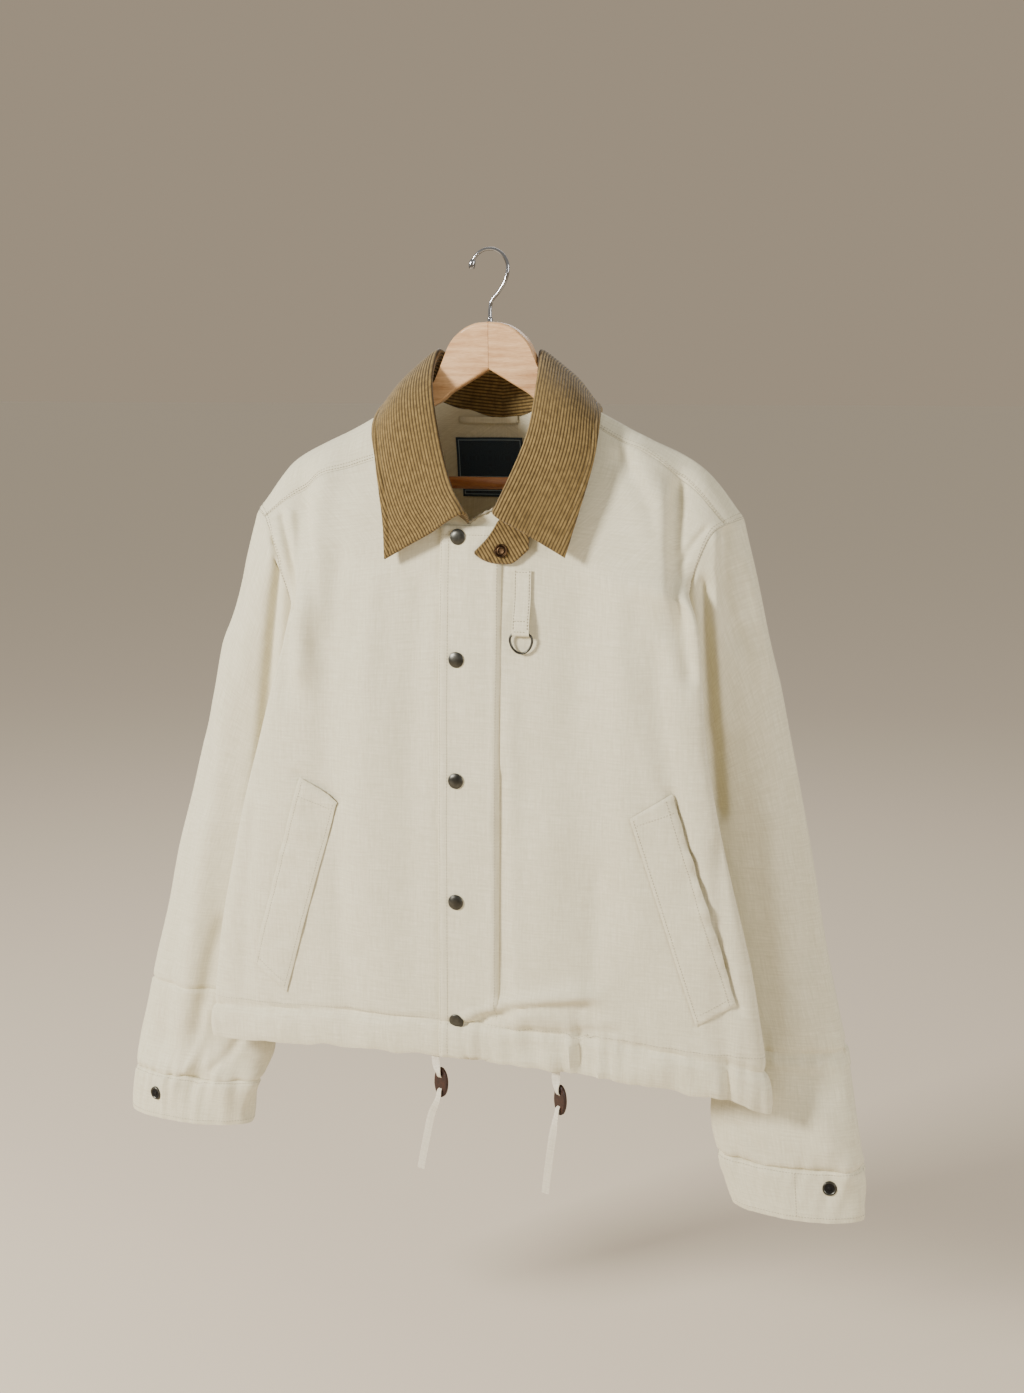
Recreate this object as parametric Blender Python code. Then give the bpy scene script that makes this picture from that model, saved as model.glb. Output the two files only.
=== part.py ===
"""Waist-length hunting jacket, buttoned up and hanging on a wooden hanger.

World frame: metres, +Z up, the front of the jacket faces -Y, the wearer's left is +X.
The origin is the inner top of the hanger's hook.
"""
import math

import bmesh
import bpy
import numpy as np
from mathutils import Vector
from mathutils.bvhtree import BVHTree

# ---- driving dimensions -------------------------------------------------------------------
CLOTH = 0.0018            # lined cotton cloth
COLLAR_CLOTH = 0.0026     # corduroy over interfacing
SEAM_GAP = 0.0003         # clear space between two sewn pieces
SHARP_VALLEY = 1.2        # two unit normals with a shorter sum face each other across a valley
VALLEY_SHARE = 0.2        # the cloth is pressed this thin in a seam at the bottom of a valley
STEEP_SEAM = 0.5          # below this sine a seam runs along its own normal, as at the armpit
MIDDLE_REACH = 0.0012     # a front point this close to the middle plane is on the front edge
LIFT = 0.0009             # clear space under a piece that lies on a panel
FLAP_THICKNESS = 0.0024
WELT_THICKNESS = 0.0022

HOOK_RADIUS = 0.0185      # centre line of the hook's bow
HOOK_WIRE = 0.00175
HUMP_TOP = -0.0670
BAR_Z = -0.2230
BAR_RADIUS = 0.0060
BAR_HALF = 0.1834
HANGER_HALF_THICKNESS = 0.0070

FLAP_LEFT = -0.0290       # free edge of the storm flap
FLAP_RIGHT = 0.0325       # stitched edge of the storm flap
FLAP_TOP = -0.2590
FLAP_BOTTOM = -0.7900
SNAP_RADIUS = 0.0078
SNAP_HEIGHT = 0.0028
SNAP_X = -0.0105
SNAP_HEIGHTS = (-0.2690, -0.3870, -0.5060, -0.6280, -0.7510)

RING_AXIS = (0.0546, -0.0779, -0.3590)   # the ring's straight bar, along X
RING_WIRE = 0.0012
RING_BAR_HALF = 0.0102
RING_BOW_HALF = 0.0114
RING_SHOULDER = 0.0045    # the bow starts this far below the bar
RING_DROP = 0.0190

# ---- the body: a row of control points for each level, from the front hem over the shoulder
# ---- to the back hem. in: front or back middle, mid: middle of the panel, fold: the edge
# ---- where the cloth turns towards the side, out: side seam or armhole.
BODY_ROWS = (
    # in x, y, z              mid x, y, z              fold x, y, z              out x, y, z
    (0.000, -0.0900, -0.7900, 0.150, -0.0870, -0.7965, 0.3000, -0.060, -0.8120, 0.2050, 0.004, -0.8060),
    (0.000, -0.0890, -0.7000, 0.140, -0.0850, -0.7000, 0.2840, -0.064, -0.7000, 0.1930, 0.004, -0.7000),
    (0.000, -0.0870, -0.6000, 0.130, -0.0830, -0.6000, 0.2620, -0.068, -0.6000, 0.1750, 0.004, -0.6000),
    (0.000, -0.0830, -0.5000, 0.120, -0.0800, -0.5000, 0.2370, -0.068, -0.5000, 0.1620, 0.008, -0.5000),
    (0.000, -0.0780, -0.4000, 0.110, -0.0750, -0.4100, 0.2190, -0.064, -0.4100, 0.1880, -0.026, -0.4150),
    (0.000, -0.0730, -0.3200, 0.105, -0.0690, -0.3350, 0.2080, -0.058, -0.3400, 0.2050, -0.042, -0.3400),
    (0.000, -0.0665, -0.2570, 0.105, -0.0620, -0.2760, 0.1950, -0.053, -0.2870, 0.2190, -0.045, -0.2880),
    (0.034, -0.0610, -0.2360, 0.115, -0.0520, -0.2400, 0.1920, -0.043, -0.2520, 0.2285, -0.037, -0.2650),
    (0.066, -0.0400, -0.1900, 0.130, -0.0320, -0.2000, 0.2000, -0.028, -0.2240, 0.2400, -0.024, -0.2560),
    (0.073, -0.0160, -0.1460, 0.142, -0.0140, -0.1780, 0.2090, -0.013, -0.2090, 0.2490, -0.011, -0.2525),
    (0.074, 0.0000, -0.1330, 0.145, 0.0000, -0.1710, 0.2130, 0.000, -0.2055, 0.2520, 0.003, -0.2515),
    (0.070, 0.0140, -0.1380, 0.142, 0.0130, -0.1760, 0.2090, 0.013, -0.2080, 0.2490, 0.016, -0.2530),
    (0.045, 0.0340, -0.1510, 0.130, 0.0280, -0.1950, 0.2000, 0.027, -0.2230, 0.2410, 0.028, -0.2575),
    (0.000, 0.0400, -0.1560, 0.115, 0.0400, -0.2250, 0.1900, 0.040, -0.2500, 0.2290, 0.040, -0.2670),
    (0.000, 0.0480, -0.2350, 0.110, 0.0490, -0.2750, 0.1850, 0.049, -0.2890, 0.2175, 0.047, -0.2920),
    (0.000, 0.0530, -0.3100, 0.105, 0.0540, -0.3350, 0.1800, 0.055, -0.3420, 0.2030, 0.047, -0.3450),
    (0.000, 0.0560, -0.4000, 0.100, 0.0570, -0.4120, 0.1680, 0.056, -0.4170, 0.1860, 0.036, -0.4200),
    (0.000, 0.0570, -0.5000, 0.100, 0.0580, -0.5000, 0.1540, 0.052, -0.5000, 0.1620, 0.008, -0.5000),
    (0.000, 0.0570, -0.6000, 0.110, 0.0570, -0.6000, 0.1680, 0.048, -0.6000, 0.1750, 0.004, -0.6000),
    (0.000, 0.0560, -0.7000, 0.120, 0.0560, -0.7000, 0.1860, 0.045, -0.7000, 0.1930, 0.004, -0.7000),
    (0.000, 0.0550, -0.8060, 0.130, 0.0550, -0.8060, 0.1970, 0.042, -0.8060, 0.2050, 0.004, -0.8060),
)
FRONT_HEM, FRONT_ARMPIT, RIDGE, BACK_NECK, BACK_ARMPIT, BACK_HEM = 0, 3, 10, 13, 17, 20
# level of the forward shoulder seam at the neck and at the armhole, for each side
SHOULDER_SEAM = {-1: (8.05, 7.55), 1: (9.15, 8.00)}
ACROSS = (0.0, 0.2, 0.4, 0.6, 0.8, 1.0, 1.25, 1.5, 1.72, 1.88, 2.0, 2.12, 2.35, 2.65, 3.0)
LOWER_CELLS, CHEST_CELLS, SHOULDER_CELLS, NAPE_CELLS, BLADE_CELLS = 9, 8, 3, 4, 7

# front fold: how far its edge lies to +X on both sides, around one level
FOLD_SWAY = 0.0120
FOLD_SWAY_Z = -0.3650
FOLD_SWAY_REACH = 0.1000

# ---- sleeves: an oval at each level below the armhole --------------------------------------
SLEEVE_ROWS = {
    # z, centre x, centre y, half width, half depth
    -1: (
        (-0.560, -0.2685, 0.008, 0.0795, 0.0325),
        (-0.620, -0.2860, 0.003, 0.0770, 0.0320),
        (-0.690, -0.3050, -0.002, 0.0740, 0.0310),
        (-0.790, -0.3305, -0.008, 0.0725, 0.0290),
        (-0.846, -0.3350, -0.012, 0.0815, 0.0280),
        (-0.874, -0.3430, -0.018, 0.0770, 0.0270),
        (-0.926, -0.3510, -0.021, 0.0745, 0.0260),
    ),
    1: (
        (-0.560, 0.2520, 0.014, 0.0670, 0.0350),
        (-0.620, 0.2630, 0.012, 0.0675, 0.0335),
        (-0.690, 0.2765, 0.009, 0.0680, 0.0320),
        (-0.790, 0.3010, 0.001, 0.0665, 0.0300),
        (-0.850, 0.3060, -0.011, 0.0740, 0.0275),
        (-0.889, 0.3120, -0.011, 0.0740, 0.0270),
        (-0.941, 0.3225, -0.015, 0.0670, 0.0260),
    ),
}
CAP_CELLS = 5
SLEEVE_CELLS = (2, 2, 3, 2, 1)
CUFF_CELLS = 2

# ---- largest folds: a soft ridge (+) or trough (-) along a line, seen from the front -------
FRONT_FOLDS = (
    # start x, start z, end x, end z, half width, height
    (-0.163, -0.225, -0.173, -0.400, 0.016, 0.0060),
    (-0.190, -0.235, -0.197, -0.420, 0.014, -0.0060),
    (0.155, -0.190, 0.212, -0.330, 0.018, 0.0060),
    (0.196, -0.220, 0.208, -0.330, 0.014, -0.0070),
    (0.060, -0.729, 0.110, -0.714, 0.014, 0.0050),
    (0.070, -0.772, 0.120, -0.768, 0.014, -0.0040),
    (0.090, -0.560, 0.060, -0.740, 0.030, 0.0040),
    (-0.100, -0.420, -0.080, -0.700, 0.035, 0.0045),
    (-0.290, -0.400, -0.345, -0.800, 0.018, 0.0060),
    (-0.320, -0.500, -0.372, -0.830, 0.015, -0.0050),
    (0.262, -0.300, 0.318, -0.740, 0.016, 0.0060),
    (0.288, -0.420, 0.345, -0.800, 0.015, -0.0050),
)
BACK_FOLDS = (
    (-0.150, -0.250, -0.120, -0.700, 0.030, 0.0060),
    (0.150, -0.250, 0.120, -0.700, 0.030, 0.0060),
    (0.000, -0.300, 0.010, -0.750, 0.035, -0.0040),
    (-0.300, -0.420, -0.350, -0.820, 0.018, 0.0060),
    (0.270, -0.420, 0.320, -0.820, 0.018, 0.0060),
)

# ---- collar: for a level of the neckline, where its cloth rolls over, falls and ends -------
COLLAR_ROWS = {
    # level, roll x, y, z, fall x, y, z, edge x, y, z
    -1: (
        (6.00, 0.0000, -0.0810, -0.2470, -0.0390, -0.0815, -0.2680, -0.0830, -0.0790, -0.2925),
        (7.30, -0.0200, -0.0700, -0.2140, -0.0530, -0.0720, -0.2290, -0.0900, -0.0690, -0.2440),
        (8.20, -0.0365, -0.0530, -0.1720, -0.0650, -0.0590, -0.1850, -0.1005, -0.0540, -0.2010),
        (9.20, -0.0520, -0.0270, -0.1250, -0.0780, -0.0340, -0.1380, -0.1125, -0.0300, -0.1660),
        (10.0, -0.0570, 0.0020, -0.0980, -0.0850, -0.0010, -0.1180, -0.1150, 0.0030, -0.1500),
        (11.6, -0.0450, 0.0310, -0.1050, -0.0700, 0.0440, -0.1270, -0.0930, 0.0510, -0.1640),
        (13.0, 0.0000, 0.0450, -0.1120, 0.0000, 0.0590, -0.1400, 0.0000, 0.0630, -0.1760),
    ),
    1: (
        (6.84, 0.0280, -0.0810, -0.2455, 0.0610, -0.0815, -0.2650, 0.0980, -0.0790, -0.2865),
        (7.50, 0.0430, -0.0690, -0.2090, 0.0740, -0.0710, -0.2240, 0.1105, -0.0680, -0.2390),
        (8.20, 0.0545, -0.0530, -0.1720, 0.0830, -0.0590, -0.1850, 0.1185, -0.0540, -0.2010),
        (9.20, 0.0560, -0.0270, -0.1250, 0.0835, -0.0340, -0.1370, 0.1180, -0.0300, -0.1650),
        (10.0, 0.0500, 0.0020, -0.0990, 0.0780, -0.0010, -0.1180, 0.1095, 0.0030, -0.1500),
        (11.6, 0.0400, 0.0310, -0.1050, 0.0640, 0.0440, -0.1270, 0.0880, 0.0510, -0.1640),
        (13.0, 0.0000, 0.0450, -0.1120, 0.0000, 0.0590, -0.1400, 0.0000, 0.0630, -0.1760),
    ),
}
COLLAR_SEAM_RISE = 0.0004
COLLAR_ACROSS = (0.0, 0.35, 0.7, 0.88, 1.0, 1.12, 1.3, 1.6, 2.0, 2.5, 3.0)

# ---- throat tab: upper and lower edge, seen from the front, and its button ------------------
TAB_ROWS = (
    # x, upper z, lower z
    (0.0071, -0.2822, -0.2848), (0.0128, -0.2765, -0.2890), (0.0198, -0.2690, -0.2920),
    (0.0265, -0.2590, -0.2934), (0.0310, -0.2520, -0.2938), (0.0370, -0.2500, -0.2939),
    (0.0440, -0.2545, -0.2930), (0.0520, -0.2595, -0.2872), (0.0600, -0.2650, -0.2795),
)
TAB_LIFT = 0.0037
TAB_THICKNESS = 0.0024
BUTTON_PLACE = (0.0340, -0.2815)
BUTTON_RADIUS = 0.0066
BUTTON_HEIGHT = 0.0026

# ---- ring tab on the chest: its edges, seen from the front ---------------------------------
RING_TAB_HALF_WIDTH = 0.0084
RING_TAB_TOP = -0.2990
RING_TAB_THICKNESS = 0.0011
RING_TAB_LEAVES = 0.0360  # above the bar, where the tab starts to leave the chest
RING_TAB_TURN_UP = 0.0120

# ---- pieces sewn inside the back neck: left, right, top, bottom ----------------------------
NECK_PIECES = {
    "hanging_loop": (-0.0460, 0.0160, -0.1585, -0.1645),
    "neck_label": (-0.0505, 0.0196, -0.1800, -0.2225),
    "size_label": (-0.0455, -0.0004, -0.2312, -0.2402),
}
NECK_PIECE_THICKNESS = {"hanging_loop": 0.0012, "neck_label": 0.0006, "size_label": 0.0006}

# ---- cuffs ---------------------------------------------------------------------------------
CUFF_SNAP_PLACES = {-1: (-0.3822, -0.8966), 1: (0.3556, -0.9059)}
CUFF_SNAP_RADIUS = 0.0066
CUFF_SNAP_HEIGHT = 0.0020

# ---- pocket welts: corners from the front, top outer, top inner, bottom inner, bottom outer
POCKET_CORNERS = {
    -1: ((-0.1810, -0.5170), (-0.1400, -0.5400), (-0.2010, -0.7450), (-0.2390, -0.7170)),
    1: ((0.2010, -0.5070), (0.1640, -0.5310), (0.2300, -0.7330), (0.2660, -0.7110)),
}

# ---- toggles: leather ovals turned towards -X; each tape goes back through the upper hole
# ---- and comes forward through the lower one
TOGGLE_CENTRES = {-1: (-0.0300, -0.0868, -0.8210), 1: (0.0950, -0.0842, -0.8250)}
TOGGLE_TURNS = {-1: 15, 1: 31}
TOGGLE_HALF_WIDTH = 0.0078
TOGGLE_HALF_HEIGHT = 0.0158
TOGGLE_HALF_THICKNESS = 0.0023
HOLE_RISE = 0.0058
HOLE_WIDTH = 0.0054
HOLE_HEIGHT = 0.0032

# ---- draw tapes: x and z of two points inside the hem; x, y, z above and below the toggle;
# ---- beside it, the distance in front of the toggle's middle, the height over it and the width
TAPE_THICKNESS = 0.0009
TAPE_WIDTH = 0.0078
TAPE_IN_HEM = {-1: ((-0.0360, -0.7760), (-0.0358, -0.7880)), 1: ((0.0900, -0.7780), (0.0902, -0.7880))}
TAPE_BEHIND = 0.0006      # clear space between the hem and the tape
TAPE_ABOVE = {
    -1: ((-0.0345, -0.0884, -0.8020),),
    1: ((0.0910, -0.0857, -0.8060),),
}
TAPE_AT_TOGGLE = (
    (0.0052, 0.0118, 0.0066), (0.0040, 0.0078, 0.0048), (0.0024, 0.0062, 0.0040),
    (0.0000, HOLE_RISE, 0.0040), (-0.0024, 0.0054, 0.0040), (-0.0040, 0.0034, 0.0044),
    (-0.0045, 0.0000, 0.0048), (-0.0040, -0.0034, 0.0044), (-0.0024, -0.0054, 0.0040),
    (0.0000, -HOLE_RISE, 0.0040), (0.0024, -0.0062, 0.0040), (0.0040, -0.0078, 0.0048),
    (0.0052, -0.0125, 0.0062),
)
TAPE_BELOW = {
    -1: ((-0.0400, -0.0880, -0.8550), (-0.0480, -0.0860, -0.8880), (-0.0545, -0.0850, -0.9190)),
    1: ((0.0885, -0.0880, -0.8600), (0.0830, -0.0850, -0.8950), (0.0785, -0.0830, -0.9280)),
}
TAPE_POINTS = 64

# ---- hanger: one arm, from its middle to its tip -------------------------------------------
HANGER_ROWS = (
    # x, top z, bottom z
    (0.0002, HUMP_TOP, -0.1125), (0.0150, -0.0688, -0.1210), (0.0300, -0.0765, -0.1297),
    (0.0420, -0.0900, -0.1370), (0.0490, -0.1060, -0.1430), (0.0570, -0.1230, -0.1470),
    (0.0700, -0.1378, -0.1540), (0.0850, -0.1453, -0.1640), (0.1100, -0.1583, -0.1780),
    (0.1450, -0.1762, -0.1990), (0.1750, -0.1893, -0.2125), (0.1838, -0.1937, -0.2160),
    (0.1843, -0.1940, -0.2370), (0.1990, -0.2020, -0.2390), (0.2080, -0.2086, -0.2360),
    (0.2130, -0.2165, -0.2300),
)
HANGER_SIDES = 12


# ---- scene and materials -------------------------------------------------------------------
for old in list(bpy.data.objects):
    bpy.data.objects.remove(old, do_unlink=True)


def material(name, colour, roughness, metallic=0.0):
    made = bpy.data.materials.new(name)
    made.use_nodes = True
    shader = made.node_tree.nodes["Principled BSDF"]
    shader.inputs["Base Color"].default_value = (*colour, 1.0)
    shader.inputs["Roughness"].default_value = roughness
    shader.inputs["Metallic"].default_value = metallic
    made.diffuse_color = (*colour, 1.0)
    return made


COTTON = material("off-white cotton", (0.72, 0.68, 0.56), 0.9)
CORDUROY = material("tan corduroy", (0.30, 0.19, 0.09), 0.95)
BEECH = material("beech", (0.68, 0.44, 0.25), 0.45)
BAR_WOOD = material("stained bar", (0.45, 0.18, 0.06), 0.4)
CHROME = material("chromed steel", (0.75, 0.75, 0.77), 0.15, 1.0)
GUNMETAL = material("gunmetal brass", (0.09, 0.09, 0.08), 0.35, 1.0)
LABEL = material("navy label", (0.03, 0.05, 0.08), 0.8)
LEATHER = material("brown leather", (0.06, 0.03, 0.02), 0.6)
TAPE = material("cotton tape", (0.68, 0.64, 0.55), 0.9)
BRONZE = material("dark bronze button", (0.12, 0.07, 0.04), 0.4, 1.0)


def add_object(name, vertices, faces, skin, smooth=True):
    """One closed solid as its own object, with its faces turned outwards."""
    mesh = bpy.data.meshes.new(name)
    mesh.from_pydata([tuple(v) for v in vertices], [], faces)
    shell = bmesh.new()
    shell.from_mesh(mesh)
    bmesh.ops.recalc_face_normals(shell, faces=shell.faces)
    if shell.calc_volume(signed=True) < 0:
        bmesh.ops.reverse_faces(shell, faces=shell.faces)
    shell.to_mesh(mesh)
    shell.free()
    mesh.materials.append(skin)
    if smooth:
        mesh.shade_smooth()
        mesh.set_sharp_from_angle(angle=math.radians(40))
    made = bpy.data.objects.new(name, mesh)
    bpy.context.scene.collection.objects.link(made)
    return made


# ---- curves through control points ---------------------------------------------------------
def through(keys, values, at):
    """Smooth curve through values at rising keys; values may hold several columns."""
    keys = np.asarray(keys, float)
    values = np.asarray(values, float)
    steps = np.diff(keys)
    slopes = np.diff(values, axis=0) / steps.reshape((-1,) + (1,) * (values.ndim - 1))
    tangents = np.empty_like(values)
    tangents[0] = slopes[0]
    tangents[-1] = slopes[-1]
    for i in range(1, len(keys) - 1):
        before, after = steps[i - 1], steps[i]
        tangents[i] = (after * slopes[i - 1] + before * slopes[i]) / (before + after)
    at = np.clip(np.atleast_1d(np.asarray(at, float)), keys[0], keys[-1])
    cell = np.clip(np.searchsorted(keys, at, side="right") - 1, 0, len(keys) - 2)
    width = steps[cell]
    t = (at - keys[cell]) / width
    shape = (-1,) + (1,) * (values.ndim - 1)
    t = t.reshape(shape)
    width = width.reshape(shape)
    return ((2 * t ** 3 - 3 * t ** 2 + 1) * values[cell]
            + (t ** 3 - 2 * t ** 2 + t) * width * tangents[cell]
            + (-2 * t ** 3 + 3 * t ** 2) * values[cell + 1]
            + (t ** 3 - t ** 2) * width * tangents[cell + 1])


def lengths_along(points):
    """Distance from the first point to each point, along the points."""
    steps = np.linalg.norm(np.diff(points, axis=0), axis=1)
    return np.concatenate(([0.0], np.cumsum(steps)))


def at_index(points, index):
    """Point at a fractional control index on the smooth curve through points."""
    points = np.asarray(points, float)
    keys = lengths_along(points)
    return through(keys, points, np.interp(index, np.arange(len(points)), keys))


# ---- body points ---------------------------------------------------------------------------
BODY = np.array(BODY_ROWS).reshape(len(BODY_ROWS), 4, 3)
LEVEL_KEYS = lengths_along(BODY[:, 1])


def body_controls(level, side):
    """The four control points of one level, on one side."""
    key = np.interp(level, np.arange(len(BODY)), LEVEL_KEYS)
    points = through(LEVEL_KEYS, BODY, key)[0].copy()
    if level < RIDGE:
        near = math.exp(-((points[2, 2] - FOLD_SWAY_Z) / FOLD_SWAY_REACH) ** 2)
        points[2, 0] += side * FOLD_SWAY * near
    points[0, 0] = max(points[0, 0], 0.0)
    points[:, 0] *= side
    return points


def body_point(level, across, side):
    return at_index(body_controls(level, side), across)[0]


def spread(start, end, cells):
    return [start + (end - start) * i / cells for i in range(cells + 1)]


def strip_levels(across, side):
    """Levels of all rows, from the front hem to the back hem, at one place across."""
    share = across / ACROSS[-1]
    seam = SHOULDER_SEAM[side][0] * (1 - share) + SHOULDER_SEAM[side][1] * share
    levels = spread(FRONT_HEM, FRONT_ARMPIT, LOWER_CELLS)
    levels += spread(FRONT_ARMPIT, seam, CHEST_CELLS)[1:]
    levels += spread(seam, RIDGE, SHOULDER_CELLS)[1:]
    levels += spread(RIDGE, BACK_NECK, NAPE_CELLS)[1:]
    levels += spread(BACK_NECK, BACK_ARMPIT, BLADE_CELLS)[1:]
    levels += spread(BACK_ARMPIT, BACK_HEM, LOWER_CELLS)[1:]
    return levels


ROW_ARMPIT = LOWER_CELLS
ROW_SEAM = ROW_ARMPIT + CHEST_CELLS
ROW_RIDGE = ROW_SEAM + SHOULDER_CELLS
ROW_NAPE = ROW_RIDGE + NAPE_CELLS
ROW_BLADE = ROW_NAPE + BLADE_CELLS
ROW_LAST = ROW_BLADE + LOWER_CELLS


BODY_PIECES = ("front_right", "front_left", "back")


class Shell:
    """All cloth of the jacket's body as one sheet, whose faces know their piece."""

    def __init__(self):
        self.keys = {}
        self.places = []
        self.faces = []
        self.pieces = []
        self.armholes = []
        self.valleys = set()

    def vertex(self, key, place):
        if key not in self.keys:
            self.keys[key] = len(self.places)
            self.places.append([])
        self.places[self.keys[key]].append(np.asarray(place, float))
        return self.keys[key]

    def face(self, corners, piece):
        self.faces.append(corners)
        self.pieces.append(piece)

    def finish(self):
        self.points = np.array([np.mean(p, axis=0) for p in self.places])
        self.set_normals()

    def set_normals(self):
        """At an armhole the normal halves the angle between the body and the sleeve."""
        body = [f for f, piece in zip(self.faces, self.pieces) if piece in BODY_PIECES]
        arms = [f for f, piece in zip(self.faces, self.pieces) if piece not in BODY_PIECES]
        both = vertex_normals(self.points, body) + vertex_normals(self.points, arms)
        for loop in self.armholes:
            for before, index, after in zip(loop[-1:] + loop[:-1], loop, loop[1:] + loop[:1]):
                if np.linalg.norm(both[index]) < SHARP_VALLEY or index in self.valleys:
                    self.valleys.add(index)
                    along = self.points[after] - self.points[before]
                    along /= np.linalg.norm(along)
                    both[index] = self.away_from(index, along, body) + self.away_from(index, along, arms)
        self.normals = both / np.linalg.norm(both, axis=1)[:, None]
        self.normals[sorted(self.valleys)] *= VALLEY_SHARE

    def away_from(self, index, along, faces):
        """Direction from a seam point into one piece, square to the seam."""
        middles = [np.mean(self.points[list(f)], axis=0) for f in faces if index in f]
        way = np.mean(middles, axis=0) - self.points[index]
        way -= along * (way @ along)
        return way / np.linalg.norm(way)


def vertex_normals(points, faces):
    normals = np.zeros_like(points)
    for face in faces:
        corners = points[list(face)]
        turn = np.cross(corners[2] - corners[0], corners[-1] - corners[1])
        for index in face:
            normals[index] += turn
    sizes = np.linalg.norm(normals, axis=1)
    return normals / np.where(sizes > 0, sizes, 1)[:, None]


def strip_key(side, row, column):
    """Key of a strip vertex; the back middle and the side seams are shared."""
    if column == 0 and row >= ROW_NAPE:
        return ("middle", row)
    if column == len(ACROSS) - 1 and (row <= ROW_ARMPIT or row >= ROW_BLADE):
        return ("side", side, row if row <= ROW_ARMPIT else ROW_LAST - row)
    return (side, row, column)


def sleeve_ring(side, row_index, angles):
    z, centre_x, centre_y, half_width, half_depth = SLEEVE_ROWS[side][row_index]
    x = centre_x - side * half_width * np.cos(angles)
    y = centre_y - half_depth * np.sin(angles)
    return np.stack([x, y, np.full_like(x, z)], axis=1)


def build_shell():
    shell = Shell()
    for side in (-1, 1):
        front = "front_right" if side < 0 else "front_left"
        sleeve = "sleeve_right" if side < 0 else "sleeve_left"
        cuff = "cuff_right" if side < 0 else "cuff_left"
        grid = []
        for column, across in enumerate(ACROSS):
            levels = strip_levels(across, side)
            grid.append([shell.vertex(strip_key(side, row, column), body_point(level, across, side))
                         for row, level in enumerate(levels)])
        for column in range(len(ACROSS) - 1):
            for row in range(ROW_LAST):
                corners = (grid[column][row], grid[column + 1][row],
                           grid[column + 1][row + 1], grid[column][row + 1])
                shell.face(corners if side > 0 else corners[::-1], front if row < ROW_SEAM else "back")

        loop = grid[-1][ROW_ARMPIT:ROW_BLADE]
        shell.armholes.append(loop)
        places = np.array([np.mean(shell.places[i], axis=0) for i in loop])
        run = lengths_along(np.vstack([places, places[:1]]))
        top = ROW_RIDGE - ROW_ARMPIT
        angles = np.interp(run[:-1], (0, run[top], run[-1]), (0, math.pi, 2 * math.pi))
        rings = [places] + [sleeve_ring(side, i, angles) for i in range(len(SLEEVE_ROWS[side]))]
        paths = np.array(rings).transpose(1, 0, 2)
        marks = spread(0, 1, CAP_CELLS)
        for i, cells in enumerate(SLEEVE_CELLS):
            marks += spread(i + 1, i + 2, cells)[1:]
        sleeve_rows = len(marks) - 1
        marks += spread(len(rings) - 2, len(rings) - 1, CUFF_CELLS)[1:]
        below = [loop]
        for row, mark in enumerate(marks[1:], 1):
            below.append([shell.vertex(("sleeve", side, row, i), at_index(path, mark)[0])
                          for i, path in enumerate(paths)])
        count = len(loop)
        for row in range(len(marks) - 1):
            for i in range(count):
                j = (i + 1) % count
                corners = (below[row][i], below[row][j], below[row + 1][j], below[row + 1][i])
                shell.face(corners if side < 0 else corners[::-1], sleeve if row < sleeve_rows else cuff)
    shell.finish()
    return shell


def fold_offset(point, facing, folds):
    """Height of the large folds at a point whose normal has the Y part facing."""
    total = 0.0
    for start_x, start_z, end_x, end_z, half_width, height in folds:
        run = np.array([end_x - start_x, end_z - start_z])
        length = np.linalg.norm(run)
        run = run / length
        away = np.array([point[0] - start_x, point[2] - start_z])
        along = float(away @ run)
        beside = float(away[0] * run[1] - away[1] * run[0])
        past = max(0.0, -along, along - length)
        total += height * math.exp(-(beside / half_width) ** 2 - (past / (1.6 * half_width)) ** 2)
    return total * min(1.0, max(0.0, facing))


SHELL = build_shell()
for index, (point, normal) in enumerate(zip(SHELL.points.copy(), SHELL.normals)):
    lift = fold_offset(point, -1.4 * normal[1], FRONT_FOLDS) + fold_offset(point, 1.4 * normal[1], BACK_FOLDS)
    SHELL.points[index] = point + normal * lift
SHELL.set_normals()
SURFACE = BVHTree.FromPolygons([tuple(p) for p in SHELL.points], SHELL.faces)


# ---- walls ---------------------------------------------------------------------------------
def wall(name, points, normals, faces, low, high, skin, inset=0.0):
    """Closed wall over a sheet, from low to high along the normals, drawn in at its edges."""
    points = np.asarray(points, float)
    edges = {}
    for face in faces:
        for a, b in zip(face, face[1:] + face[:1]):
            edges[(a, b)] = face
    rim = [(a, b) for (a, b) in edges if (b, a) not in edges]
    if inset:
        inward = {}
        for a, b in rim:
            along = points[b] - points[a]
            along /= np.linalg.norm(along)
            middle = np.mean(points[list(edges[(a, b)])], axis=0) - (points[a] + points[b]) / 2
            middle -= along * (middle @ along)
            middle /= np.linalg.norm(middle)
            for index in (a, b):
                way = np.cross(along, normals[index] / np.linalg.norm(normals[index]))
                size = np.linalg.norm(way)
                way = middle if size < STEEP_SEAM else way / size * math.copysign(1.0, way @ middle)
                inward.setdefault(index, []).append(way)
        points = points.copy()
        for index, ways in inward.items():
            way = np.sum(ways, axis=0)
            size = way @ way
            points[index] += inset * way * len(ways) / max(size, 0.5 * len(ways))
    used = sorted({index for face in faces for index in face})
    place = {index: i for i, index in enumerate(used)}
    count = len(used)
    top = points[used] + normals[used] * high
    bottom = points[used] + normals[used] * low
    solid = [tuple(place[i] for i in face) for face in faces]
    solid += [tuple(place[i] + count for i in reversed(face)) for face in faces]
    solid += [(place[b], place[a], place[a] + count, place[b] + count) for a, b in rim]
    return add_object(name, np.vstack([top, bottom]), solid, skin)


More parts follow.
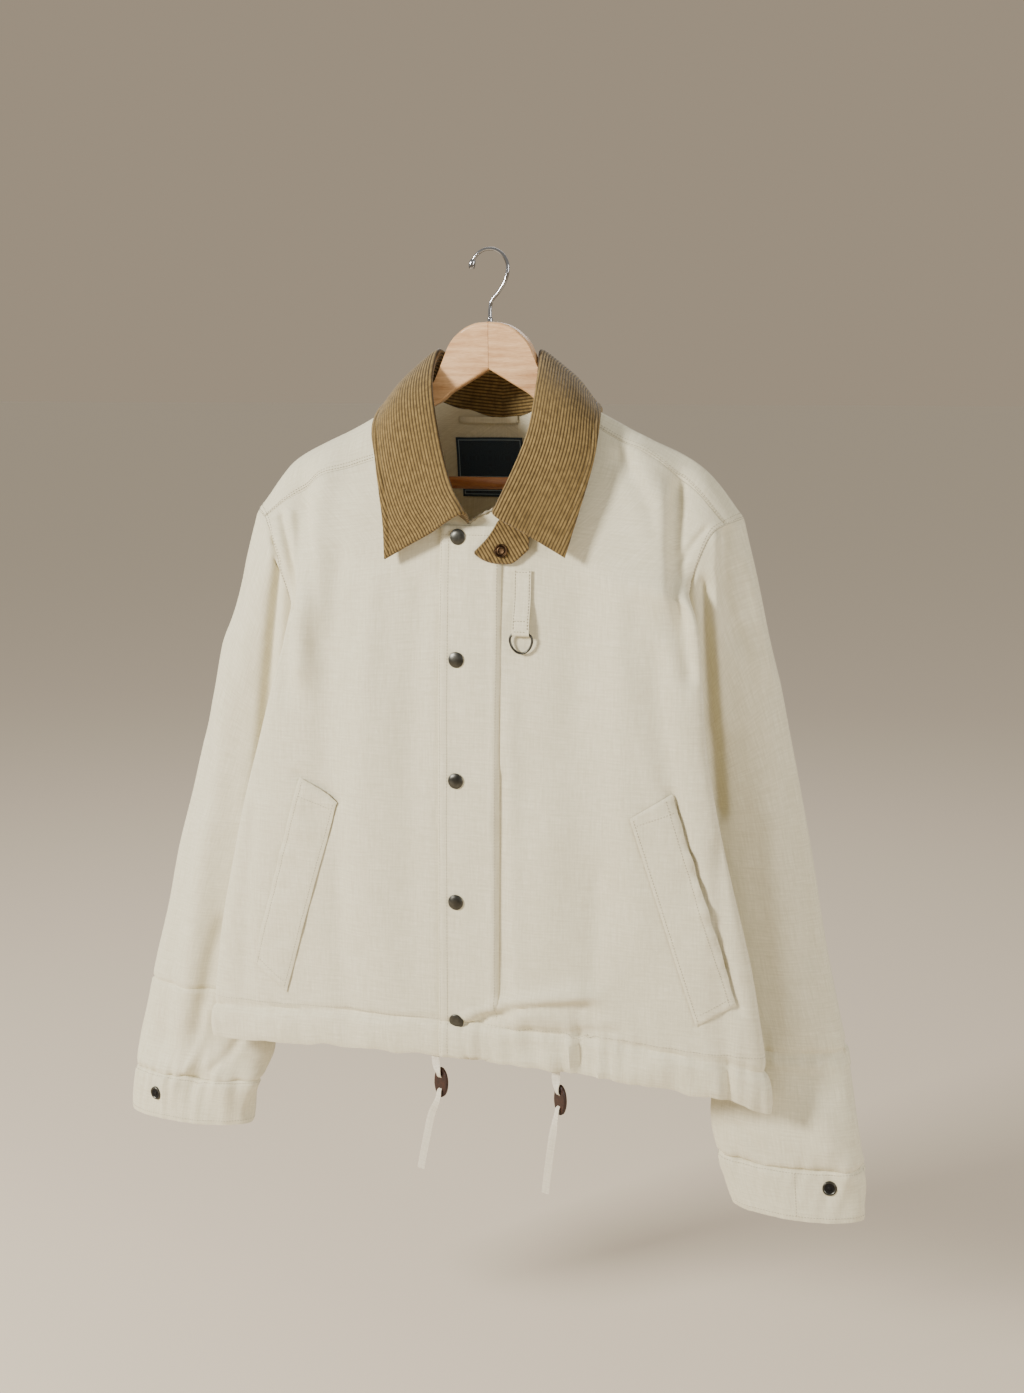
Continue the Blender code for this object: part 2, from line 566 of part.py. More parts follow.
def shell_piece(name, skin):
    faces = [f for f, piece in zip(SHELL.faces, SHELL.pieces) if piece == name]
    if name.startswith("front"):
        points = SHELL.points.copy()
        side = -1 if name == "front_right" else 1
        middle = {i for f in faces for i in f if abs(points[i, 0]) < MIDDLE_REACH}
        for index in middle:
            points[index, 0] = side * SEAM_GAP
    else:
        points = SHELL.points
    return wall(name, points, SHELL.normals, faces, -CLOTH, 0.0, skin, SEAM_GAP / 2 + 0.00003)


for part_name in ("front_right", "front_left", "back", "sleeve_right", "sleeve_left",
                  "cuff_right", "cuff_left"):
    shell_piece(part_name, COTTON)


def grid_faces(rows, columns, closed=False):
    """Quads of a grid whose points run row by row."""
    faces = []
    for row in range(rows - 1):
        for column in range(columns if closed else columns - 1):
            after = (column + 1) % columns
            faces.append((row * columns + column, row * columns + after,
                          (row + 1) * columns + after, (row + 1) * columns + column))
    return faces


def front_hit(x, z):
    """Point and outward normal of the jacket's front at x and z."""
    place, normal, _, _ = SURFACE.ray_cast(Vector((x, -1.0, z)), Vector((0.0, 1.0, 0.0)))
    if normal.y > 0:
        normal = -normal
    return np.array(place), np.array(normal)


def patch_points(corner_rows, rows, columns):
    """Front points of a patch whose first and last row run between two corners each."""
    (a, b), (d, c) = np.array(corner_rows, float)
    points = []
    normals = []
    for row in range(rows):
        t = row / (rows - 1)
        start, end = a + (d - a) * t, b + (c - b) * t
        for column in range(columns):
            x, z = start + (end - start) * column / (columns - 1)
            place, _ = front_hit(x, z)
            points.append(place)
    points = np.array(points)
    normals = vertex_normals(points, grid_faces(rows, columns))
    if np.mean(normals[:, 1]) > 0:
        normals = -normals
    return points, normals


def laid_piece(name, corner_rows, rows, columns, lift, thickness, skin):
    """A flat piece that lies on the front, made from the front's own points."""
    points, normals = patch_points(corner_rows, rows, columns)
    return wall(name, points, normals, grid_faces(rows, columns), lift, lift + thickness, skin)


laid_piece("storm_flap", (((FLAP_LEFT, FLAP_TOP), (FLAP_RIGHT, FLAP_TOP)),
                          ((FLAP_LEFT, FLAP_BOTTOM), (FLAP_RIGHT, FLAP_BOTTOM))),
           37, 6, LIFT, FLAP_THICKNESS, COTTON)
for side, name in ((-1, "pocket_welt_right"), (1, "pocket_welt_left")):
    top_outer, top_inner, bottom_inner, bottom_outer = POCKET_CORNERS[side]
    laid_piece(name, ((top_outer, top_inner), (bottom_outer, bottom_inner)),
               14, 5, LIFT, WELT_THICKNESS, COTTON)


# ---- collar --------------------------------------------------------------------------------
def neckline_levels(side):
    """Levels of the body's own vertices along the neckline, front end first."""
    levels = strip_levels(0.0, side)
    return [level for level in levels if COLLAR_ROWS[side][0][0] < level <= BACK_NECK]


def neckline_vertex(level, side):
    row = int(np.argmin(np.abs(np.array(strip_levels(0.0, side)) - level)))
    return SHELL.points[SHELL.keys[strip_key(side, row, 0)]]


def collar_section(level, side):
    """Seam, roll, fall and edge of the collar at one place along the neckline."""
    table = np.array(COLLAR_ROWS[side])
    row = through(table[:, 0], table[:, 1:], level)[0]
    section = np.vstack([neckline_vertex(level, side), row.reshape(3, 3)])
    section[0, 2] += COLLAR_SEAM_RISE
    return section


def build_collar():
    sections = [collar_section(level, -1) for level in neckline_levels(-1)]
    sections += [collar_section(level, 1) for level in neckline_levels(1)[-2::-1]]
    points = np.array([at_index(row, COLLAR_ACROSS) for row in sections]).reshape(-1, 3)
    faces = grid_faces(len(sections), len(COLLAR_ACROSS))
    normals = vertex_normals(points, faces)
    return wall("collar", points, normals, faces, -COLLAR_CLOTH / 2, COLLAR_CLOTH / 2, CORDUROY)


build_collar()


def rows_piece(name, rows, columns, lift, thickness, skin):
    """A piece on the front whose rows run between an upper and a lower edge."""
    points = []
    for x, upper, lower in rows:
        for i in range(columns):
            points.append(front_hit(x, upper + (lower - upper) * i / (columns - 1))[0])
    points = np.array(points)
    faces = grid_faces(len(rows), columns)
    normals = vertex_normals(points, faces)
    if np.mean(normals[:, 1]) > 0:
        normals = -normals
    return wall(name, points, normals, faces, lift, lift + thickness, skin)


rows_piece("throat_tab", TAB_ROWS, 5, TAB_LIFT, TAB_THICKNESS, CORDUROY)


def inside_back(name, left, right, top, bottom, thickness, skin, rows=3, columns=6):
    """A flat piece sewn to the inside of the back, just clear of its cloth."""
    points = []
    for row in range(rows):
        z = top + (bottom - top) * row / (rows - 1)
        for column in range(columns):
            x = left + (right - left) * column / (columns - 1)
            points.append(SURFACE.ray_cast(Vector((x, 0.01, z)), Vector((0.0, 1.0, 0.0)))[0])
    points = np.array([tuple(p) for p in points])
    faces = grid_faces(rows, columns)
    normals = vertex_normals(points, faces)
    if np.mean(normals[:, 1]) > 0:
        normals = -normals
    start = CLOTH + LIFT
    return wall(name, points, normals, faces, start, start + thickness, skin)


for name, (left, right, top, bottom) in NECK_PIECES.items():
    inside_back(name, left, right, top, bottom, NECK_PIECE_THICKNESS[name],
                COTTON if name == "hanging_loop" else LABEL)


# ---- snaps ---------------------------------------------------------------------------------
def turned(name, profile, centre, axis, skin, sides=14):
    """Solid of revolution: profile holds radius and height along axis, from bottom to top."""
    axis = np.array(axis, float)
    axis /= np.linalg.norm(axis)
    first = np.cross(axis, (0.0, 0.0, 1.0))
    if np.linalg.norm(first) < 0.1:
        first = np.cross(axis, (1.0, 0.0, 0.0))
    first /= np.linalg.norm(first)
    second = np.cross(axis, first)
    centre = np.array(centre, float)
    points = []
    for radius, height in profile:
        for i in range(sides):
            angle = 2 * math.pi * i / sides
            points.append(centre + axis * height
                          + radius * (math.cos(angle) * first + math.sin(angle) * second))
    faces = grid_faces(len(profile), sides, closed=True)
    faces.append(tuple(range(sides)))
    faces.append(tuple(range(len(points) - sides, len(points))))
    return add_object(name, points, faces, skin)


CAP_PROFILE = ((0.97, 0.0), (1.0, 0.21), (0.86, 0.65), (0.5, 0.95), (0.12, 1.0))
for number, height in enumerate(SNAP_HEIGHTS, 1):
    place, normal = front_hit(SNAP_X, height)
    base = place + normal * (LIFT + FLAP_THICKNESS + 0.0006)
    turned(f"front_snap_{number}", [(SNAP_RADIUS * across, SNAP_HEIGHT * up) for across, up in CAP_PROFILE],
           base, normal, GUNMETAL)

# shares of radius and height, from the base over the rim into the middle
SOCKET_PROFILE = ((1.0, 0.0), (1.0, 0.6), (0.72, 1.0), (0.66, 0.6), (0.3, 0.55))
BUTTON_PROFILE = ((0.95, 0.0), (1.0, 0.3), (0.9, 1.0), (0.7, 0.95), (0.6, 0.6), (0.1, 0.6))
for side, name in ((-1, "cuff_snap_right"), (1, "cuff_snap_left")):
    place, normal = front_hit(*CUFF_SNAP_PLACES[side])
    turned(name, [(CUFF_SNAP_RADIUS * across, CUFF_SNAP_HEIGHT * up) for across, up in SOCKET_PROFILE],
           place + normal * LIFT, normal, GUNMETAL)

place, normal = front_hit(*BUTTON_PLACE)
turned("tab_button", [(BUTTON_RADIUS * across, BUTTON_HEIGHT * up) for across, up in BUTTON_PROFILE],
       place + normal * (TAB_LIFT + TAB_THICKNESS + 0.0005), normal, BRONZE)


# ---- ring tab and ring ---------------------------------------------------------------------
def build_ring_tab():
    """A strip down the chest that turns up behind itself around the ring's bar."""
    axis_x, axis_y, axis_z = RING_AXIS
    half = RING_TAB_THICKNESS / 2
    bend = RING_WIRE + 0.0004 + half
    edges = (axis_x - RING_TAB_HALF_WIDTH, axis_x, axis_x + RING_TAB_HALF_WIDTH)
    rows, bend_cells, turn_cells = 10, 8, 4
    profile = []
    for i in range(rows):
        z = RING_TAB_TOP + (axis_z - RING_TAB_TOP) * i / rows
        chest = min(front_hit(x, z)[0][1] for x in edges) - LIFT - half
        t = max(0.0, 1 - (z - axis_z) / RING_TAB_LEAVES)
        away = t * t * (3 - 2 * t)
        profile.append((chest * (1 - away) + (axis_y - bend) * away, z))
    for i in range(bend_cells + 1):
        angle = math.pi * i / bend_cells
        profile.append((axis_y - bend * math.cos(angle), axis_z - bend * math.sin(angle)))
    for i in range(1, turn_cells + 1):
        z = axis_z + RING_TAB_TURN_UP * i / turn_cells
        profile.append((min(front_hit(x, z)[0][1] for x in edges) - LIFT - half, z))
    points = np.array([(x, y, z) for y, z in profile for x in edges])
    faces = grid_faces(len(profile), len(edges))
    return wall("ring_tab", points, vertex_normals(points, faces), faces, -half, half, COTTON)


def build_ring():
    """A D: a straight bar on the joint's axis and a bow below it."""
    route = [(RING_BAR_HALF * share, 0.0) for share in (-1.0, -1 / 3, 1 / 3, 1.0)]
    for i in range(13):
        angle = math.pi * i / 12
        route.append((RING_BOW_HALF * math.cos(angle),
                      -RING_SHOULDER - (RING_DROP - RING_SHOULDER) * math.sin(angle)))
    line = np.array([(x, 0.0, z) for x, z in route])
    depth = np.array((0.0, 1.0, 0.0))
    sides = 6
    points = []
    for before, place, after in zip(np.roll(line, 1, axis=0), line, np.roll(line, -1, axis=0)):
        across = np.cross(after - before, depth)
        across /= np.linalg.norm(across)
        for k in range(sides):
            angle = 2 * math.pi * k / sides
            points.append(place + RING_WIRE * (math.cos(angle) * across + math.sin(angle) * depth))
    faces = grid_faces(len(line), sides, closed=True)
    faces += [(len(points) - sides + k, len(points) - sides + (k + 1) % sides, (k + 1) % sides, k)
              for k in range(sides)]
    made = add_object("d_ring", points, faces, GUNMETAL)
    made.location = RING_AXIS
    return made


build_ring_tab()
build_ring()


# ---- hanger --------------------------------------------------------------------------------
def build_hanger():
    """Two arms that meet in the middle, flat in front and behind with rounded edges."""
    half = HANGER_HALF_THICKNESS
    for side, name in ((-1, "hanger_half_right"), (1, "hanger_half_left")):
        points = []
        for x, top, bottom in HANGER_ROWS:
            soft = min(half, 0.42 * (top - bottom))
            for i in range(HANGER_SIDES):
                angle = 2 * math.pi * (i + 0.5) / HANGER_SIDES
                y, up = np.clip((1.25 * math.sin(angle), 1.25 * math.cos(angle)), -1.0, 1.0)
                edge = (top - soft) if up > 0 else (bottom + soft)
                points.append((side * x, half * y, edge + soft * up))
        faces = grid_faces(len(HANGER_ROWS), HANGER_SIDES, closed=True)
        faces.append(tuple(range(HANGER_SIDES)))
        faces.append(tuple(range(len(points) - HANGER_SIDES, len(points))))
        add_object(name, points, faces, BEECH)
    turned("hanger_bar", ((BAR_RADIUS - 0.0008, -BAR_HALF), (BAR_RADIUS, -BAR_HALF + 0.0008),
                          (BAR_RADIUS, BAR_HALF - 0.0008), (BAR_RADIUS - 0.0008, BAR_HALF)),
           (0.0, 0.0, BAR_Z), (1.0, 0.0, 0.0), BAR_WOOD)


build_hanger()


def round_wire(name, route, count, radius, skin):
    """Round wire along a smooth line through route."""
    route = np.array(route, float)
    keys = lengths_along(route)
    places = through(keys, route, np.linspace(0, keys[-1], count))
    curve = bpy.data.curves.new(name, "CURVE")
    curve.dimensions = "3D"
    curve.bevel_depth = radius
    curve.bevel_resolution = 2
    curve.use_fill_caps = True
    curve.materials.append(skin)
    spline = curve.splines.new("POLY")
    spline.points.add(count - 1)
    for point, place in zip(spline.points, places):
        point.co = (*place, 1.0)
    made = bpy.data.objects.new(name, curve)
    bpy.context.scene.collection.objects.link(made)
    return made


def hook_route():
    centre_z = HOOK_WIRE - HOOK_RADIUS
    route = [(0.0, 0.0, HUMP_TOP + SEAM_GAP), (0.0, 0.0, -0.0560), (0.0015, 0.0, -0.0480),
             (0.0090, 0.0, -0.0390), (0.0160, 0.0, -0.0280)]
    for degrees in range(-10, 181, 19):
        angle = math.radians(degrees)
        route.append((HOOK_RADIUS * math.cos(angle), 0.0, centre_z + HOOK_RADIUS * math.sin(angle)))
    return route


round_wire("hanger_hook", hook_route(), 44, HOOK_WIRE, CHROME)


# ---- draw tapes and toggles ----------------------------------------------------------------
def toggle_axes(side):
    """Directions across the toggle's face and out of it."""
    turn = math.radians(TOGGLE_TURNS[side])
    return np.array((math.cos(turn), -math.sin(turn), 0.0)), np.array((-math.sin(turn), -math.cos(turn), 0.0))


def build_toggle(name, side):
    """A leather oval with two holes for the tape, one above the other."""
    across, outward = toggle_axes(side)
    centre = np.array(TOGGLE_CENTRES[side])
    outline = 20
    rings = ((0.88, -1.0), (1.0, -0.6), (1.0, 0.6), (0.88, 1.0))
    points = []
    for share, level in rings:
        for i in range(outline):
            angle = 2 * math.pi * i / outline
            points.append(centre + across * TOGGLE_HALF_WIDTH * share * math.cos(angle)
                          + outward * TOGGLE_HALF_THICKNESS * level
                          + np.array((0.0, 0.0, TOGGLE_HALF_HEIGHT * share * math.sin(angle))))
    faces = grid_faces(len(rings), outline, closed=True)
    faces.append(tuple(range(outline)))
    faces.append(tuple(range(len(points) - outline, len(points))))
    toggle = add_object(name, points, faces, LEATHER)
    for number, rise in enumerate((HOLE_RISE, -HOLE_RISE)):
        corners = []
        for depth in (-1.5, 1.5):
            for x, z in ((-1, -1), (1, -1), (1, 1), (-1, 1)):
                corners.append(centre + outward * TOGGLE_HALF_THICKNESS * depth + across * HOLE_WIDTH / 2 * x
                               + np.array((0.0, 0.0, rise + HOLE_HEIGHT / 2 * z)))
        sides = [(0, 1, 2, 3), (4, 5, 6, 7), (0, 1, 5, 4), (1, 2, 6, 5), (2, 3, 7, 6), (3, 0, 4, 7)]
        cutter = add_object(f"{name}_hole_{number}", corners, sides, LEATHER, smooth=False)
        cutter.hide_render = True
        cutter.display_type = "WIRE"
        cut = toggle.modifiers.new(f"hole {number}", "BOOLEAN")
        cut.operation = "DIFFERENCE"
        cut.solver = "EXACT"
        cut.object = cutter
    return toggle


def build_tape(name, side):
    """A flat tape: its width turns from the hem's direction to the toggle's and back."""
    across, outward = toggle_axes(side)
    centre = np.array(TOGGLE_CENTRES[side])
    straight = np.array((1.0, 0.0, 0.0))
    behind = CLOTH + TAPE_BEHIND + TAPE_THICKNESS / 2
    inside = [(x, front_hit(x, z)[0][1] + behind, z) for x, z in TAPE_IN_HEM[side]]
    rows = [(np.array(place), TAPE_WIDTH, straight) for place in (*inside, *TAPE_ABOVE[side])]
    for away, rise, width in TAPE_AT_TOGGLE:
        rows.append((centre + outward * away + np.array((0.0, 0.0, rise)), width, across))
    rows += [(np.array(place), TAPE_WIDTH, straight) for place in TAPE_BELOW[side]]
    table = np.array([[*place, width, *way] for place, width, way in rows])
    keys = lengths_along(table[:, :3])
    line = through(keys, table, np.linspace(0, keys[-1], TAPE_POINTS))
    points = []
    for i, row in enumerate(line):
        before, after = line[max(i - 1, 0), :3], line[min(i + 1, len(line) - 1), :3]
        along = (after - before) / np.linalg.norm(after - before)
        wide = row[4:7] - along * (row[4:7] @ along)
        wide /= np.linalg.norm(wide)
        thick = np.cross(along, wide)
        for a, b in ((-1, -1), (1, -1), (1, 1), (-1, 1)):
            points.append(row[:3] + wide * row[3] / 2 * a + thick * TAPE_THICKNESS / 2 * b)
    faces = grid_faces(len(line), 4, closed=True)
    faces += [(0, 1, 2, 3), tuple(range(len(points) - 4, len(points)))]
    return add_object(name, points, faces, TAPE)


for side, word in ((-1, "right"), (1, "left")):
    build_toggle(f"toggle_{word}", side)
    build_tape(f"draw_tape_{word}", side)
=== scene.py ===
"""Waist-length hunting jacket on a wooden hanger, dressed for rendering.

World frame: metres, +Z up, the front of the jacket faces -Y, the wearer's left is +X.
The origin is the inner top of the hanger's hook.
"""

import math

import bmesh
import bpy
import numpy as np
from mathutils import Matrix, Vector
from mathutils.bvhtree import BVHTree


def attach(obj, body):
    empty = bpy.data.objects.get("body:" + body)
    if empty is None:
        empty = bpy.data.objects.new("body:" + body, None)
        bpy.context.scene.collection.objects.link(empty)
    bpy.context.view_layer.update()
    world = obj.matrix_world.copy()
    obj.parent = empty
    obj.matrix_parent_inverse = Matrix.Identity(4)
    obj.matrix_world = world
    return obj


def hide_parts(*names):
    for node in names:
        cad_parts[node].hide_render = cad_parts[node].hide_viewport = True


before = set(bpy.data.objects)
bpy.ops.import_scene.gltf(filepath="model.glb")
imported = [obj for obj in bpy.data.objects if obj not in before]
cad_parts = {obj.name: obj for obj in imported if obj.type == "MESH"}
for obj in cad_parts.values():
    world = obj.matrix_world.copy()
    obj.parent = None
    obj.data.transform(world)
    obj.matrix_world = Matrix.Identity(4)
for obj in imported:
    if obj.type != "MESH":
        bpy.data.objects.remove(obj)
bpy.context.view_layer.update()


# ---- Fronts, back, sleeves and cuffs -------------------------------------------------------
# Off-white cotton cloth with a slubby plain weave, lined. The fronts reach from the hem to the
# forward shoulder seams, the back goes over the shoulders, and the sleeves are open tubes.
CLOTH = 0.0018
SEAM_GAP = 0.0003
LAID_GAP = 0.0009         # between a panel and what is laid on it
GRID = 0.0036             # size of the cloth's mesh cells
BODY_ROWS = (
    # in x, y, z              mid x, y, z              fold x, y, z              out x, y, z
    (0.000, -0.0900, -0.7900, 0.150, -0.0870, -0.7965, 0.3000, -0.060, -0.8120, 0.2050, 0.004, -0.8060),
    (0.000, -0.0890, -0.7000, 0.140, -0.0850, -0.7000, 0.2840, -0.064, -0.7000, 0.1930, 0.004, -0.7000),
    (0.000, -0.0870, -0.6000, 0.130, -0.0830, -0.6000, 0.2620, -0.068, -0.6000, 0.1750, 0.004, -0.6000),
    (0.000, -0.0830, -0.5000, 0.120, -0.0800, -0.5000, 0.2370, -0.068, -0.5000, 0.1620, 0.008, -0.5000),
    (0.000, -0.0780, -0.4000, 0.110, -0.0750, -0.4100, 0.2190, -0.064, -0.4100, 0.1880, -0.026, -0.4150),
    (0.000, -0.0730, -0.3200, 0.105, -0.0690, -0.3350, 0.2080, -0.058, -0.3400, 0.2050, -0.042, -0.3400),
    (0.000, -0.0665, -0.2570, 0.105, -0.0620, -0.2760, 0.1950, -0.053, -0.2870, 0.2190, -0.045, -0.2880),
    (0.034, -0.0610, -0.2360, 0.115, -0.0520, -0.2400, 0.1920, -0.043, -0.2520, 0.2285, -0.037, -0.2650),
    (0.066, -0.0400, -0.1900, 0.130, -0.0320, -0.2000, 0.2000, -0.028, -0.2240, 0.2400, -0.024, -0.2560),
    (0.073, -0.0160, -0.1460, 0.142, -0.0140, -0.1780, 0.2090, -0.013, -0.2090, 0.2490, -0.011, -0.2525),
    (0.074, 0.0000, -0.1330, 0.145, 0.0000, -0.1710, 0.2130, 0.000, -0.2055, 0.2520, 0.003, -0.2515),
    (0.070, 0.0140, -0.1380, 0.142, 0.0130, -0.1760, 0.2090, 0.013, -0.2080, 0.2490, 0.016, -0.2530),
    (0.045, 0.0340, -0.1510, 0.130, 0.0280, -0.1950, 0.2000, 0.027, -0.2230, 0.2410, 0.028, -0.2575),
    (0.000, 0.0400, -0.1560, 0.115, 0.0400, -0.2250, 0.1900, 0.040, -0.2500, 0.2290, 0.040, -0.2670),
    (0.000, 0.0480, -0.2350, 0.110, 0.0490, -0.2750, 0.1850, 0.049, -0.2890, 0.2175, 0.047, -0.2920),
    (0.000, 0.0530, -0.3100, 0.105, 0.0540, -0.3350, 0.1800, 0.055, -0.3420, 0.2030, 0.047, -0.3450),
    (0.000, 0.0560, -0.4000, 0.100, 0.0570, -0.4120, 0.1680, 0.056, -0.4170, 0.1860, 0.036, -0.4200),
    (0.000, 0.0570, -0.5000, 0.100, 0.0580, -0.5000, 0.1540, 0.052, -0.5000, 0.1620, 0.008, -0.5000),
    (0.000, 0.0570, -0.6000, 0.110, 0.0570, -0.6000, 0.1680, 0.048, -0.6000, 0.1750, 0.004, -0.6000),
    (0.000, 0.0560, -0.7000, 0.120, 0.0560, -0.7000, 0.1860, 0.045, -0.7000, 0.1930, 0.004, -0.7000),
    (0.000, 0.0550, -0.8060, 0.130, 0.0550, -0.8060, 0.1970, 0.042, -0.8060, 0.2050, 0.004, -0.8060),
)
FRONT_HEM, FRONT_ARMPIT, RIDGE, BACK_NECK, BACK_ARMPIT, BACK_HEM = 0, 3, 10, 13, 17, 20
# level of the forward shoulder seam at the neck and at the armhole, for each side
SHOULDER_SEAM = {-1: (8.05, 7.55), 1: (9.15, 8.00)}
FOLD_SWAY = (0.0120, -0.3650, 0.1000)
SLEEVE_ROWS = {
    # z, centre x, centre y, half width, half depth
    -1: (
        (-0.560, -0.2685, 0.008, 0.0795, 0.0325),
        (-0.620, -0.2860, 0.003, 0.0770, 0.0320),
        (-0.690, -0.3050, -0.002, 0.0740, 0.0310),
        (-0.790, -0.3305, -0.008, 0.0725, 0.0290),
        (-0.846, -0.3350, -0.012, 0.0815, 0.0280),
        (-0.874, -0.3430, -0.018, 0.0770, 0.0270),
        (-0.926, -0.3510, -0.021, 0.0745, 0.0260),
    ),
    1: (
        (-0.560, 0.2520, 0.014, 0.0670, 0.0350),
        (-0.620, 0.2630, 0.012, 0.0675, 0.0335),
        (-0.690, 0.2765, 0.009, 0.0680, 0.0320),
        (-0.790, 0.3010, 0.001, 0.0665, 0.0300),
        (-0.850, 0.3060, -0.011, 0.0740, 0.0275),
        (-0.889, 0.3120, -0.011, 0.0740, 0.0270),
        (-0.941, 0.3225, -0.015, 0.0670, 0.0260),
    ),
}
# largest folds of the solids: start x, z, end x, z, sideways bend, half width at both ends, height
FRONT_FOLDS = (
    (-0.163, -0.225, -0.173, -0.400, 0.0, 0.016, 0.016, 0.0060),
    (-0.190, -0.235, -0.197, -0.420, 0.0, 0.014, 0.014, -0.0060),
    (0.155, -0.190, 0.212, -0.330, 0.0, 0.018, 0.018, 0.0060),
    (0.196, -0.220, 0.208, -0.330, 0.0, 0.014, 0.014, -0.0070),
    (0.060, -0.729, 0.110, -0.714, 0.0, 0.014, 0.014, 0.0050),
    (0.070, -0.772, 0.120, -0.768, 0.0, 0.014, 0.014, -0.0040),
    (0.090, -0.560, 0.060, -0.740, 0.0, 0.030, 0.030, 0.0040),
    (-0.100, -0.420, -0.080, -0.700, 0.0, 0.035, 0.035, 0.0045),
    (-0.290, -0.400, -0.345, -0.800, 0.0, 0.018, 0.018, 0.0060),
    (-0.320, -0.500, -0.372, -0.830, 0.0, 0.015, 0.015, -0.0050),
    (0.262, -0.300, 0.318, -0.740, 0.0, 0.016, 0.016, 0.0060),
    (0.288, -0.420, 0.345, -0.800, 0.0, 0.015, 0.015, -0.0050),
)
BACK_FOLDS = (
    (-0.150, -0.250, -0.120, -0.700, 0.0, 0.030, 0.030, 0.0060),
    (0.150, -0.250, 0.120, -0.700, 0.0, 0.030, 0.030, 0.0060),
    (0.000, -0.300, 0.010, -0.750, 0.0, 0.035, 0.035, -0.0040),
    (-0.300, -0.420, -0.350, -0.820, 0.0, 0.018, 0.018, 0.0060),
    (0.270, -0.420, 0.320, -0.820, 0.0, 0.018, 0.018, 0.0060),
)
# finer creases, in the same columns
BODY_CREASES = (
    (-0.212, -0.258, -0.192, -0.345, -0.005, 0.004, 0.006, -0.0042),
    (-0.200, -0.258, -0.178, -0.400, -0.005, 0.005, 0.009, 0.0036),
    (-0.182, -0.250, -0.160, -0.380, -0.004, 0.006, 0.010, -0.0030),
    (-0.236, -0.262, -0.214, -0.300, -0.002, 0.003, 0.005, -0.0030),
    (0.194, -0.222, 0.217, -0.390, 0.003, 0.0050, 0.0070, -0.0060),
    (0.183, -0.230, 0.200, -0.330, 0.003, 0.007, 0.009, 0.0026),
    (0.2035, -0.508, 0.2690, -0.712, 0.000, 0.0040, 0.0050, -0.0042),
    (-0.182, -0.514, -0.140, -0.537, 0.000, 0.0036, 0.0040, -0.0036),
    (0.140, -0.195, 0.200, -0.340, -0.014, 0.008, 0.014, -0.0040),
    (0.222, -0.260, 0.206, -0.284, 0.001, 0.003, 0.004, -0.0030),
    (-0.004, -0.748, 0.036, -0.734, -0.003, 0.003, 0.005, 0.0036),
    (-0.002, -0.756, 0.040, -0.741, -0.003, 0.003, 0.005, -0.0052),
    (0.036, -0.736, 0.115, -0.726, -0.003, 0.003, 0.007, -0.0048),
    (0.036, -0.726, 0.125, -0.714, -0.003, 0.004, 0.008, 0.0030),
    (0.060, -0.752, 0.150, -0.748, 0.002, 0.003, 0.006, -0.0030),
    (0.036, -0.500, 0.040, -0.720, 0.002, 0.005, 0.008, -0.0024),
    (0.044, -0.420, 0.050, -0.700, 0.002, 0.008, 0.012, 0.0020),
    (-0.050, -0.330, -0.060, -0.700, 0.006, 0.014, 0.020, -0.0028),
    (-0.100, -0.320, -0.112, -0.640, 0.006, 0.013, 0.020, 0.0030),
    (-0.138, -0.300, -0.152, -0.560, 0.006, 0.012, 0.018, -0.0034),
    (0.110, -0.330, 0.120, -0.620, 0.008, 0.016, 0.024, -0.0032),
    (0.150, -0.330, 0.172, -0.640, 0.006, 0.013, 0.020, 0.0036),
    (0.186, -0.380, 0.222, -0.580, 0.006, 0.010, 0.014, -0.0036),
    (0.160, -0.400, 0.215, -0.560, 0.006, 0.012, 0.016, 0.0020),
    (-0.140, -0.600, -0.130, -0.780, 0.004, 0.010, 0.014, -0.0026),
    (0.130, -0.600, 0.120, -0.780, -0.004, 0.010, 0.014, -0.0028),
    (0.250, -0.560, 0.262, -0.790, 0.003, 0.008, 0.012, -0.0030),
    (-0.236, -0.560, -0.256, -0.790, 0.003, 0.008, 0.012, -0.0026),
)
SLEEVE_CREASES = (
    (-0.246, -0.262, -0.262, -0.420, 0.003, 0.006, 0.012, 0.0016),
    (-0.2100, -0.285, -0.2560, -0.560, 0.002, 0.006, 0.008, -0.0085),
    (-0.268, -0.330, -0.312, -0.560, 0.004, 0.010, 0.014, -0.0014),
    (0.2250, -0.315, 0.2350, -0.530, 0.001, 0.006, 0.008, -0.0095),
    (-0.2440, -0.828, -0.2740, -0.912, 0.000, 0.0040, 0.0060, -0.0050),
    (-0.330, -0.600, -0.362, -0.850, 0.006, 0.012, 0.016, 0.0030),
    (-0.300, -0.700, -0.330, -0.862, 0.006, 0.008, 0.010, -0.0040),
    (-0.318, -0.800, -0.345, -0.866, -0.004, 0.006, 0.006, 0.0034),
    (-0.280, -0.820, -0.322, -0.868, -0.004, 0.005, 0.006, -0.0036),
    (0.240, -0.262, 0.252, -0.360, 0.003, 0.004, 0.008, -0.0042),
    (0.232, -0.270, 0.240, -0.440, 0.002, 0.005, 0.009, 0.0034),
    (0.256, -0.300, 0.290, -0.520, 0.004, 0.008, 0.012, -0.0026),
    (0.300, -0.560, 0.330, -0.800, 0.004, 0.010, 0.014, -0.0024),
    (0.330, -0.700, 0.352, -0.860, 0.004, 0.010, 0.014, 0.0028),
    (0.262, -0.850, 0.292, -0.884, -0.003, 0.004, 0.006, -0.0026),
)
